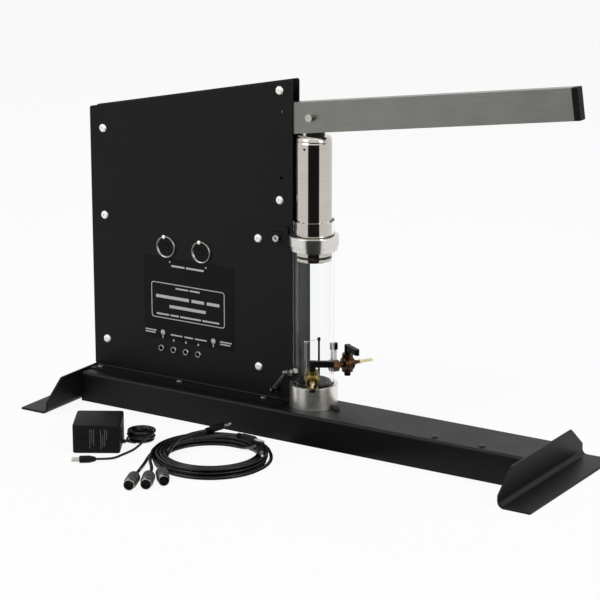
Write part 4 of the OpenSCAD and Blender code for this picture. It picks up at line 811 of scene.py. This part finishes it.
def ink_sheet(width, height, corner, segments):
    """A flat sheet of a size in millimetres about the origin, with rounded corners."""
    bm = bmesh.new()
    bmesh.ops.create_grid(bm, x_segments=1, y_segments=1, size=0.5)
    bmesh.ops.scale(bm, vec=(width * MM, height * MM, 1), verts=bm.verts)
    bmesh.ops.bevel(bm, geom=list(bm.verts), offset=corner * MM, segments=segments, profile=0.5,
                    affect="VERTICES", material=-1)
    return bm


def printed(bm, x, z):
    """Gives a sheet the thickness of ink, and its place on the label."""
    up = bmesh.ops.extrude_face_region(bm, geom=list(bm.faces))["geom"]
    bmesh.ops.translate(bm, vec=(0, 0, INK * MM), verts=[v for v in up if isinstance(v, bmesh.types.BMVert)])
    bmesh.ops.recalc_face_normals(bm, faces=bm.faces)
    return bm, place((x, LABEL_FRONT, z), FORWARD)


def mark(x, z, width, height, corner=0.4):
    """A slab of ink at its middle, with rounded corners."""
    return printed(ink_sheet(width, height, corner, 4), x, z)


def ring_mark(x, z, width, height, corner, line):
    """A rounded frame of ink: the sheet's face is inset, and what lies inside the line is taken away."""
    bm = ink_sheet(width, height, corner, 5)
    inside = list(bm.faces)
    bmesh.ops.inset_region(bm, faces=inside, thickness=line * MM, use_boundary=True, use_even_offset=True)
    bmesh.ops.delete(bm, geom=inside, context="FACES")
    return printed(bm, x, z)


def bar_row(x0, x1, z, height, words, gap=2.2):
    """A line of words as plain bars. words are the shares of the line that each bar takes."""
    free = x1 - x0 - gap * (len(words) - 1)
    bars = []
    for share in words:
        width = free * share / sum(words)
        bars.append(mark(x0 + width / 2, z, width, height))
        x0 += width + gap
    return bars


# %% The label's print
FRAME_X = (-233.9, -121.3)
FRAME_Z = (119, 166.2)
JACK_X = (-219.2, -200.2, -181.2, -162.2)
# Each row: its two ends, its height on the panel, the height of its bars, their shares, and a gap of its own
WORD_ROWS = [(-196.2, -159.2, 160.8, 2, (5, 4)), (-226.6, -129.2, 147.8, 4, (9, 3.4, 3.4), 4),
             (-206, -150.2, 136, 4, (1,)), (-226, -129.6, 124.4, 2.2, (3, 2, 5, 4)),
             (-202.2, -152.6, 189.9, 2.4, (3, 4)), (-204.7, -149, 98.6, 1.8, (4, 3, 4), 3),
             (-244, -227, 101.2, 1.7, (1,)), (-244, -228.5, 98, 1.7, (1,)),
             (-128.7, -111, 101, 1.7, (1,)), (-128.7, -113, 97.8, 1.7, (1,))]
FRAME_SIZE = (FRAME_X[1] - FRAME_X[0], FRAME_Z[1] - FRAME_Z[0])
FRAME_CORNER = 4
FRAME_LINE = 1.1
frame_mark = ring_mark(sum(FRAME_X) / 2, sum(FRAME_Z) / 2, *FRAME_SIZE, FRAME_CORNER, FRAME_LINE)
words = [bar for row in WORD_ROWS for bar in bar_row(*row)]
# Over each end jack: a round mark and its short stem, each with its height on the panel, size and corner
PIN_MARK = ((100.2, 6.4, 6.4, 2.6), (95.5, 1.3, 6.6, 0.4))
pins = [mark(x, z, w, h, c) for x in (-216.9, -139) for z, w, h, c in PIN_MARK]
# Each small mark: its height on the panel, its width and height, and its corner
POINTER = (91.6, 2.2, 2.8, 0.7)
DOT = (194.6, 2.2, 2.2, 0.9)
pointers = [mark(x, *POINTER) for x in JACK_X[1:]]
dots = [mark(x, *DOT) for x in (-204.6, -149.4)]
make("label_print", [frame_mark] + words + pins + pointers + dots, WHITE_INK, "label_film")

# %% [markdown]
# ## Round sockets and jacks
# Each round socket is a panel socket with a rim of satin nickel around a black core with
# pin holes. The rim is turned with a rolled lip, and its core sits a little back. A
# bright key at its top left shows where the plug's groove goes. The small jacks below
# have a turned nut of satin nickel around a black insert.

# %% Rims, keys and jack nuts
SOCKET_AT = ((-209.7, 214), (-155.7, 214))
KEY_AT = [(x - 2.6, PANEL_FRONT + 0.2, z + 12.6) for x, z in SOCKET_AT]
JACK_Z = 79
RING = [(11.5, -1.5), (11.5, 1), (12.6, 2.7), (13.1, 3), (13.7, 2.8), (14.2, 2), (14.5, 0.4), (14.5, 0),
        (13.2, -1.5), (11.5, -1.5)]
KEY = [(0, 4), (1, 3.9), (2, 3.5), (2.6, 2.8), (2.7, 2), (0, 2)]
JACK_NUT = [(2.8, 0.2), (2.8, 2.2), (3.1, 2.4), (3.7, 2.4), (4.3, 1.7), (4.5, 0.9), (4.5, 0), (4, 0), (4, -8),
            (2.8, -8), (2.8, 0.2)]
rims = [(turned(RING, 48), place((x, PANEL_FRONT, z), FORWARD)) for x, z in SOCKET_AT]
keys = [(turned(KEY, 20), place(at, FORWARD)) for at in KEY_AT]
nuts = [(turned(JACK_NUT, 24), place((x, PANEL_FRONT, JACK_Z), FORWARD)) for x in JACK_X]
make("socket_rims", rims, SATIN_NICKEL, "plated_steel", replaces=["socket_rings"])
# The keys get the nickel whose near-white colour is a painted reflection
make("socket_keys", keys, REFLECTION_PAINTED_NICKEL, "plated_steel")
make("jack_nuts", nuts, SATIN_NICKEL, "plated_steel", replaces=["jack_bushings"])

# %% [markdown]
# ## Plugs on the signal cables
# One end of each cable has a round plug: a grey moulded body with grip rings, a ribbed
# boot that keeps the cable from kinking, and a metal shell around a black face with
# pins. The other end has a slim phone plug with a banded shaft. All are turned shapes,
# so each is a profile on the lathe, placed where its cable ends.

# %% Round plugs
def heading(degrees_round):
    """A level direction, a number of degrees round from X."""
    return (cos(radians(degrees_round)), sin(radians(degrees_round)), 0)


def ribs(start, end, low, high, count):
    """Steps up and down along Z, for a boot or a grip."""
    pitch = (end - start) / count
    line = []
    for i in range(count):
        z = start + i * pitch
        line += [(low, z), (high, z + 0.15 * pitch), (high, z + 0.55 * pitch), (low, z + 0.7 * pitch)]
    return line


# Each plug: where its cable ends, and the heading of the plug
ROUND_PLUGS = [((-82, -251, 7.8), -67), ((-70, -239.5, 7.8), -62), ((-66, -223, 7.8), -50)]
SMALL_PLUGS = [((1, -114, 18.3), -50), ((-42, -94.5, 18.3), -6), ((-84.5, -101, 18.3), 76)]
BOOT = [(2.2, 0), (3, 0)] + [(3 + 0.32 * i + (0.35 if i % 2 else 0), 0.6 + i * 0.95) for i in range(10)]
BOOT += [(6.2, 10), (2.2, 10), (2.2, 0)]
BODY = [(0, 10), (6.4, 10), (7.1, 10.3), (7.5, 11)] + ribs(12, 24, 7.2, 7.7, 6)
BODY += [(7.3, 25), (7.7, 26), (7.7, 30.6), (7.3, 31.6), (6.7, 32), (0, 32)]
SHELL = [(6.1, 31), (6.6, 31.5), (6.6, 39.3), (6.35, 39.9), (5.9, 40), (5.8, 39.5), (5.8, 33), (0, 33),
         (0, 31), (6.1, 31)]
FACE = [(0, 36.2), (5.0, 36.2), (5.75, 36), (5.75, 32.5), (0, 32.5)]
PIN = [(0, 35.8), (0.5, 35.8), (0.5, 38.6), (0.25, 39.1), (0, 39.1)]
PIN_CIRCLE = 3.4
PIN_ANGLES = (0, 45, 90, 135, 180)
cable_ends = {1: [], 2: [], 3: []}
for i, (at, turn) in enumerate(ROUND_PLUGS, 1):
    here = place(at, heading(turn))
    cable_ends[i] += [
        make_turned(f"round_plug_{i}_boot", BOOT, 24, here, GREY_BOOT, "grey_plastic"),
        make_turned(f"round_plug_{i}_body", BODY, 28, here, GREY_BODY, "grey_plastic",
                    replaces=["din_plugs"]),
        make_turned(f"round_plug_{i}_shell", SHELL, 28, here, SATIN_NICKEL, "plated_steel"),
        make_turned(f"round_plug_{i}_face", FACE, 24, here, BLACK_ACETAL, "black_plastic")]
    pins = []
    for angle in PIN_ANGLES:
        aside = Vector((PIN_CIRCLE * cos(radians(angle)), PIN_CIRCLE * sin(radians(angle)), 0)) * MM
        pins.append((turned(PIN, 10), here @ Matrix.Translation(aside)))
    cable_ends[i].append(make(f"round_plug_{i}_pins", pins, CLEAN_BRASS, "plated_steel"))

# %% Phone plugs
SMALL_BODY = [(0, 0), (2.7, 0), (2.9, 0.4)] + ribs(1, 8, 2.6, 3.5, 5)
SMALL_BODY += [(3.9, 8.2), (4.2, 8.8), (4.3, 10), (4.3, 26), (4.1, 27.4), (3.6, 28), (0, 28)]
SHAFT = [(0, 27), (3.2, 27), (3.2, 28.6), (1.75, 28.8), (1.75, 37.4), (1.6, 37.5), (1.6, 38.1), (1.7, 38.2),
         (1.3, 39.3), (1.7, 40.3), (1.3, 41.4), (0.6, 42), (0, 42)]
for i, (at, turn) in enumerate(SMALL_PLUGS, 1):
    here = place(at, heading(turn))
    cable_ends[i] += [
        make_turned(f"phone_plug_{i}_body", SMALL_BODY, 24, here, MOULDED_ABS, "black_plastic",
                    replaces=["phone_plugs"]),
        make_turned(f"phone_plug_{i}_shaft", SHAFT, 20, here, SATIN_NICKEL, "plated_steel")]

# %% [markdown]
# ## The wall adapter
# The adapter is a moulded ABS case in two halves. They are welded along a seam, which
# shows as a fine groove all round, and the corners are well rounded so that it comes out
# of its mould. Flat blades stand on its back, and its front carries a few lines of pad
# print, which are plain bars here. Its lead leaves through a small ribbed relief, and
# ends in a barrel plug with a nickel sleeve.

# %% Adapter case
ADAPTER_AT = (-195, -173)
ADAPTER_TURN = 30.8
ADAPTER_SIZE = (58, 60, 36)
ADAPTER_MID = ADAPTER_SIZE[2] / 2
# The seam's height above the middle of the case, half its width, and its depth
SEAM_UP, SEAM_HALF, SEAM_DEEP = 2, 0.35, 0.5


def on_adapter(x, y, z, along=(0, 0, 1), turn=0.0):
    """A place in the adapter's own frame, in millimetres from the middle of its foot."""
    round_z = Matrix.Rotation(radians(ADAPTER_TURN), 4, "Z")
    return Matrix.Translation(Vector((*ADAPTER_AT, 0)) * MM) @ round_z @ place((x, y, z), along, turn)


case = block(ADAPTER_SIZE)
upright_edges = [e for e in case.edges if abs(e.verts[0].co.z - e.verts[1].co.z) > 1 * MM]
bmesh.ops.bevel(case, geom=upright_edges, offset=4 * MM, segments=5, profile=0.5, affect="EDGES", material=-1)
caps = [f for f in case.faces if abs(f.normal.z) > 0.9]
bmesh.ops.bevel(case, geom=[e for f in caps for e in f.edges], offset=1.6 * MM, segments=3, profile=0.5,
                affect="EDGES", material=-1)
for z in (SEAM_UP - SEAM_HALF, SEAM_UP, SEAM_UP + SEAM_HALF):
    bmesh.ops.bisect_plane(case, geom=list(case.verts) + list(case.edges) + list(case.faces),
                           plane_co=(0, 0, z * MM), plane_no=(0, 0, 1))
for v in case.verts:
    if abs(v.co.z - SEAM_UP * MM) < 0.01 * MM:
        v.co -= Vector((v.co.x, v.co.y, 0)).normalized() * SEAM_DEEP * MM
make("adapter_case", [(case, on_adapter(0, 0, ADAPTER_MID))], MOULDED_ABS, "black_plastic",
     replaces=["adapter_body"])

# %% Relief, blades and barrel plug
RELIEF_AT = (ADAPTER_SIZE[0] / 2, -6, 8)
RELIEF = [(1.5, 0), (3.3, 0), (3.3, 0.8)] + ribs(0.8, 4.6, 2.3, 3, 3) + [(2.1, 5), (1.5, 5), (1.5, 0)]
BLADE = (1.6, 6.4, 16.4)
BLADE_EDGE = 0.5
BLADE_X = (-6.35, 6.35)
BLADE_Y = 37.8
# Each bar of print: how far along the case, its height, and how high its middle is
PRINT_BARS = [(-7.6, 24, 19), (-5.2, 17, 22), (-2.8, 21, 20), (5.8, 25, 18), (8.2, 15, 16), (10.6, 22, 20),
              (13, 12, 24)]
PRINT_Y = -ADAPTER_SIZE[1] / 2 + 0.1
PRINT_LINE = (0.9, 0.5)
BARREL_AT = (-160, -226, 4.7)
BARREL_TURN = 216
GRIP = [(0, 0), (2.2, 0), (2.75, 0.5)]
GRIP += [(2.8 + 0.22 * i + (0.25 if i % 2 else 0), 1 + i * 0.9) for i in range(7)]
GRIP += [(4.5, 7.6), (4.5, 18.8), (4.1, 19.6), (3.4, 20), (0, 20)]
BARREL = [(0, 19), (2.75, 19), (2.75, 28.7), (2.5, 29.3), (2.0, 29.5), (1.2, 29.4), (1.2, 21), (0, 21)]
make_turned("adapter_relief", RELIEF, 24, on_adapter(*RELIEF_AT, (1, 0, 0)), LEAD_JACKET, "black_plastic")
blades = [(block(BLADE, BLADE_EDGE), on_adapter(x, BLADE_Y, ADAPTER_MID, BACKWARD, 90)) for x in BLADE_X]
make("adapter_prongs", blades, NICKEL, "plated_steel", replaces=["adapter_blades"])
bars = [(block((*PRINT_LINE, tall)), on_adapter(x, PRINT_Y, z)) for x, tall, z in PRINT_BARS]
make("adapter_print", bars, PAD_PRINT, "label_film")
barrel_place = place(BARREL_AT, heading(BARREL_TURN))
grip = make_turned("barrel_plug_grip", GRIP, 24, barrel_place, MOULDED_ABS, "black_plastic",
                   replaces=["power_plug"])
sleeve = make_turned("barrel_plug_sleeve", BARREL, 20, barrel_place, NICKEL, "plated_steel")

# %% [markdown]
# ## Stopcock bodies
# A stopcock is a cross of two turned shapes: an upright barrel that holds the plug, and
# a body along the gas line that is wider than the barrel where the two meet. The packed
# model has the barrel, the hexagon and the outlet. This adds the wide body, with a
# groove near each end, and the pale tip of each outlet.

# %% Wide bodies and outlet tips
PORT_AT = (*AXIS, 85)
FRONT_PORT, REAR_PORT = -60, 60
CROSS = [(0, 41.2), (7.6, 41.2), (8.6, 42), (8.6, 43.4), (8.1, 43.8), (8.1, 44.6), (8.8, 45.2), (8.8, 50.8),
         (8.1, 51.4), (8.1, 52.2), (8.6, 52.6), (8.6, 54), (7.6, 55), (4.6, 55.6), (0, 55.6)]
TIP = [(0.8, 67), (0.8, 83.4), (1.5, 83.4), (1.9, 82.8), (1.9, 68), (3, 66.4), (3, 64.4), (0.8, 64.4),
       (0.8, 67)]
tips = [(turned(TIP, 24), place(PORT_AT, heading(turn))) for turn in (FRONT_PORT, REAR_PORT)]
make("outlet_tips", tips, CREAM_BRASS, "brass")
make_turned("front_stopcock_cross", CROSS, 36, place(PORT_AT, heading(FRONT_PORT)), CLEAN_BRASS, "brass")
make_turned("rear_stopcock_cross", CROSS, 36, place(PORT_AT, heading(REAR_PORT)), BROWN_BRASS_WITH_PAINTED_SHADE, "brass")

# %% [markdown]
# ## Inside the cylinder
# Two posts stand on the plug inside the cylinder and hold a fine wire, which reads the
# gas temperature fast because it has almost no mass. The near post is bright and the
# far one has a black sleeve. Both have a thicker head where the wire is clamped.

# %% Sensor posts and wire
POST_TOP = 123
POST_FOOT = 57.6
POST_TALL = POST_TOP - POST_FOOT
WIRE_UP = POST_TOP - 2
NEAR_POST = (0.11, -4.76)
FAR_POST = (5.89, 17.46)
POST = [(0, 0), (1.3, 0), (1.3, POST_TALL - 5), (1.6, POST_TALL - 4.4), (2, POST_TALL - 3.4),
        (2, POST_TALL - 0.8), (1.5, POST_TALL - 0.2), (0, POST_TALL)]
wire_span = Vector(FAR_POST) - Vector(NEAR_POST)
WIRE = [(0, 0), (0.3, 0), (0.3, wire_span.length), (0, wire_span.length)]
make_turned("near_post", POST, 20, place((*NEAR_POST, POST_FOOT)), NICKEL, "plated_steel",
            replaces=["sensor_posts"])
make_turned("far_post", POST, 20, place((*FAR_POST, POST_FOOT)), BLACK_ACETAL, "plated_steel")
make_turned("sensing_wire", WIRE, 10, place((*NEAR_POST, WIRE_UP), (*wire_span, 0)), NICKEL, "plated_steel")

# %% [markdown]
# ## Last fittings
# The piston ends in a polished crown with a rounded shoulder, which moves with it, and so does the small
# screw in the block that the lever pushes, nickel with a painted reflection. A black rubber stop stands on
# the deck beside the cup, and its black also paints in the shade that falls there. The lever's pivot is a
# screw with a nut behind the panel, of the same nickel with a painted reflection.

# %% Crown, block screw, deck stop and pivot
PISTON_TOP = 374
CROWN = [(0, 0.3), (22, 0.3), (22.1, 0.8), (21.7, 2.4), (20.6, 4.4), (19.4, 5.5), (18, 5.9), (0, 6)]
BLOCK_SCREW = (2.6, 1.4, 1, 0.9, 1)
BLOCK_SHANK = 3
BLOCK_SCREW_AT = (-5.5, 1.9, 382)
# The stop is black rubber, and its black also stands for the shade on the deck beside the cup
STOP_AND_SHADE = [(0, -3), (2.2, -3), (2.2, 0), (4.2, 0), (4.2, 4), (3.6, 5.2), (2, 5.9), (0, 6)]
STOP_AND_SHADE_AT = (40, 3, DECK_TOP)
PIVOT_X = -305.5
PIVOT_Z = 357
PIVOT_SCREW = (5.3, 2.6, 2.4, 2, 4)
PIVOT_NUT = [(0, 0), (6.2, 0), (6.6, 0.5), (6.6, 3.5), (6.2, 4), (0, 4)]
make_turned("piston_crown", CROWN, 64, place((*AXIS, PISTON_TOP)), POLISHED_PISTON, "polished_metal",
            body="piston_slide")
make("block_screw", [(button(*BLOCK_SCREW, BLOCK_SHANK), place(BLOCK_SCREW_AT, FORWARD))], REFLECTION_PAINTED_NICKEL,
     "plated_steel", "piston_slide")
make_turned("deck_stop_and_shade", STOP_AND_SHADE, 24, place(STOP_AND_SHADE_AT), NITRILE, "black_rubber")
PIVOT_SHANK = PANEL_BACK - PANEL_FRONT
pivot_screw = (button(*PIVOT_SCREW, PIVOT_SHANK), place((PIVOT_X, PANEL_FRONT, PIVOT_Z), FORWARD))
pivot_nut = (turned(PIVOT_NUT, 6), place((PIVOT_X, PANEL_BACK, PIVOT_Z), BACKWARD))
make("pivot_screw", [pivot_screw, pivot_nut], REFLECTION_PAINTED_NICKEL, "plated_steel", replaces=["pivot_bolt"])
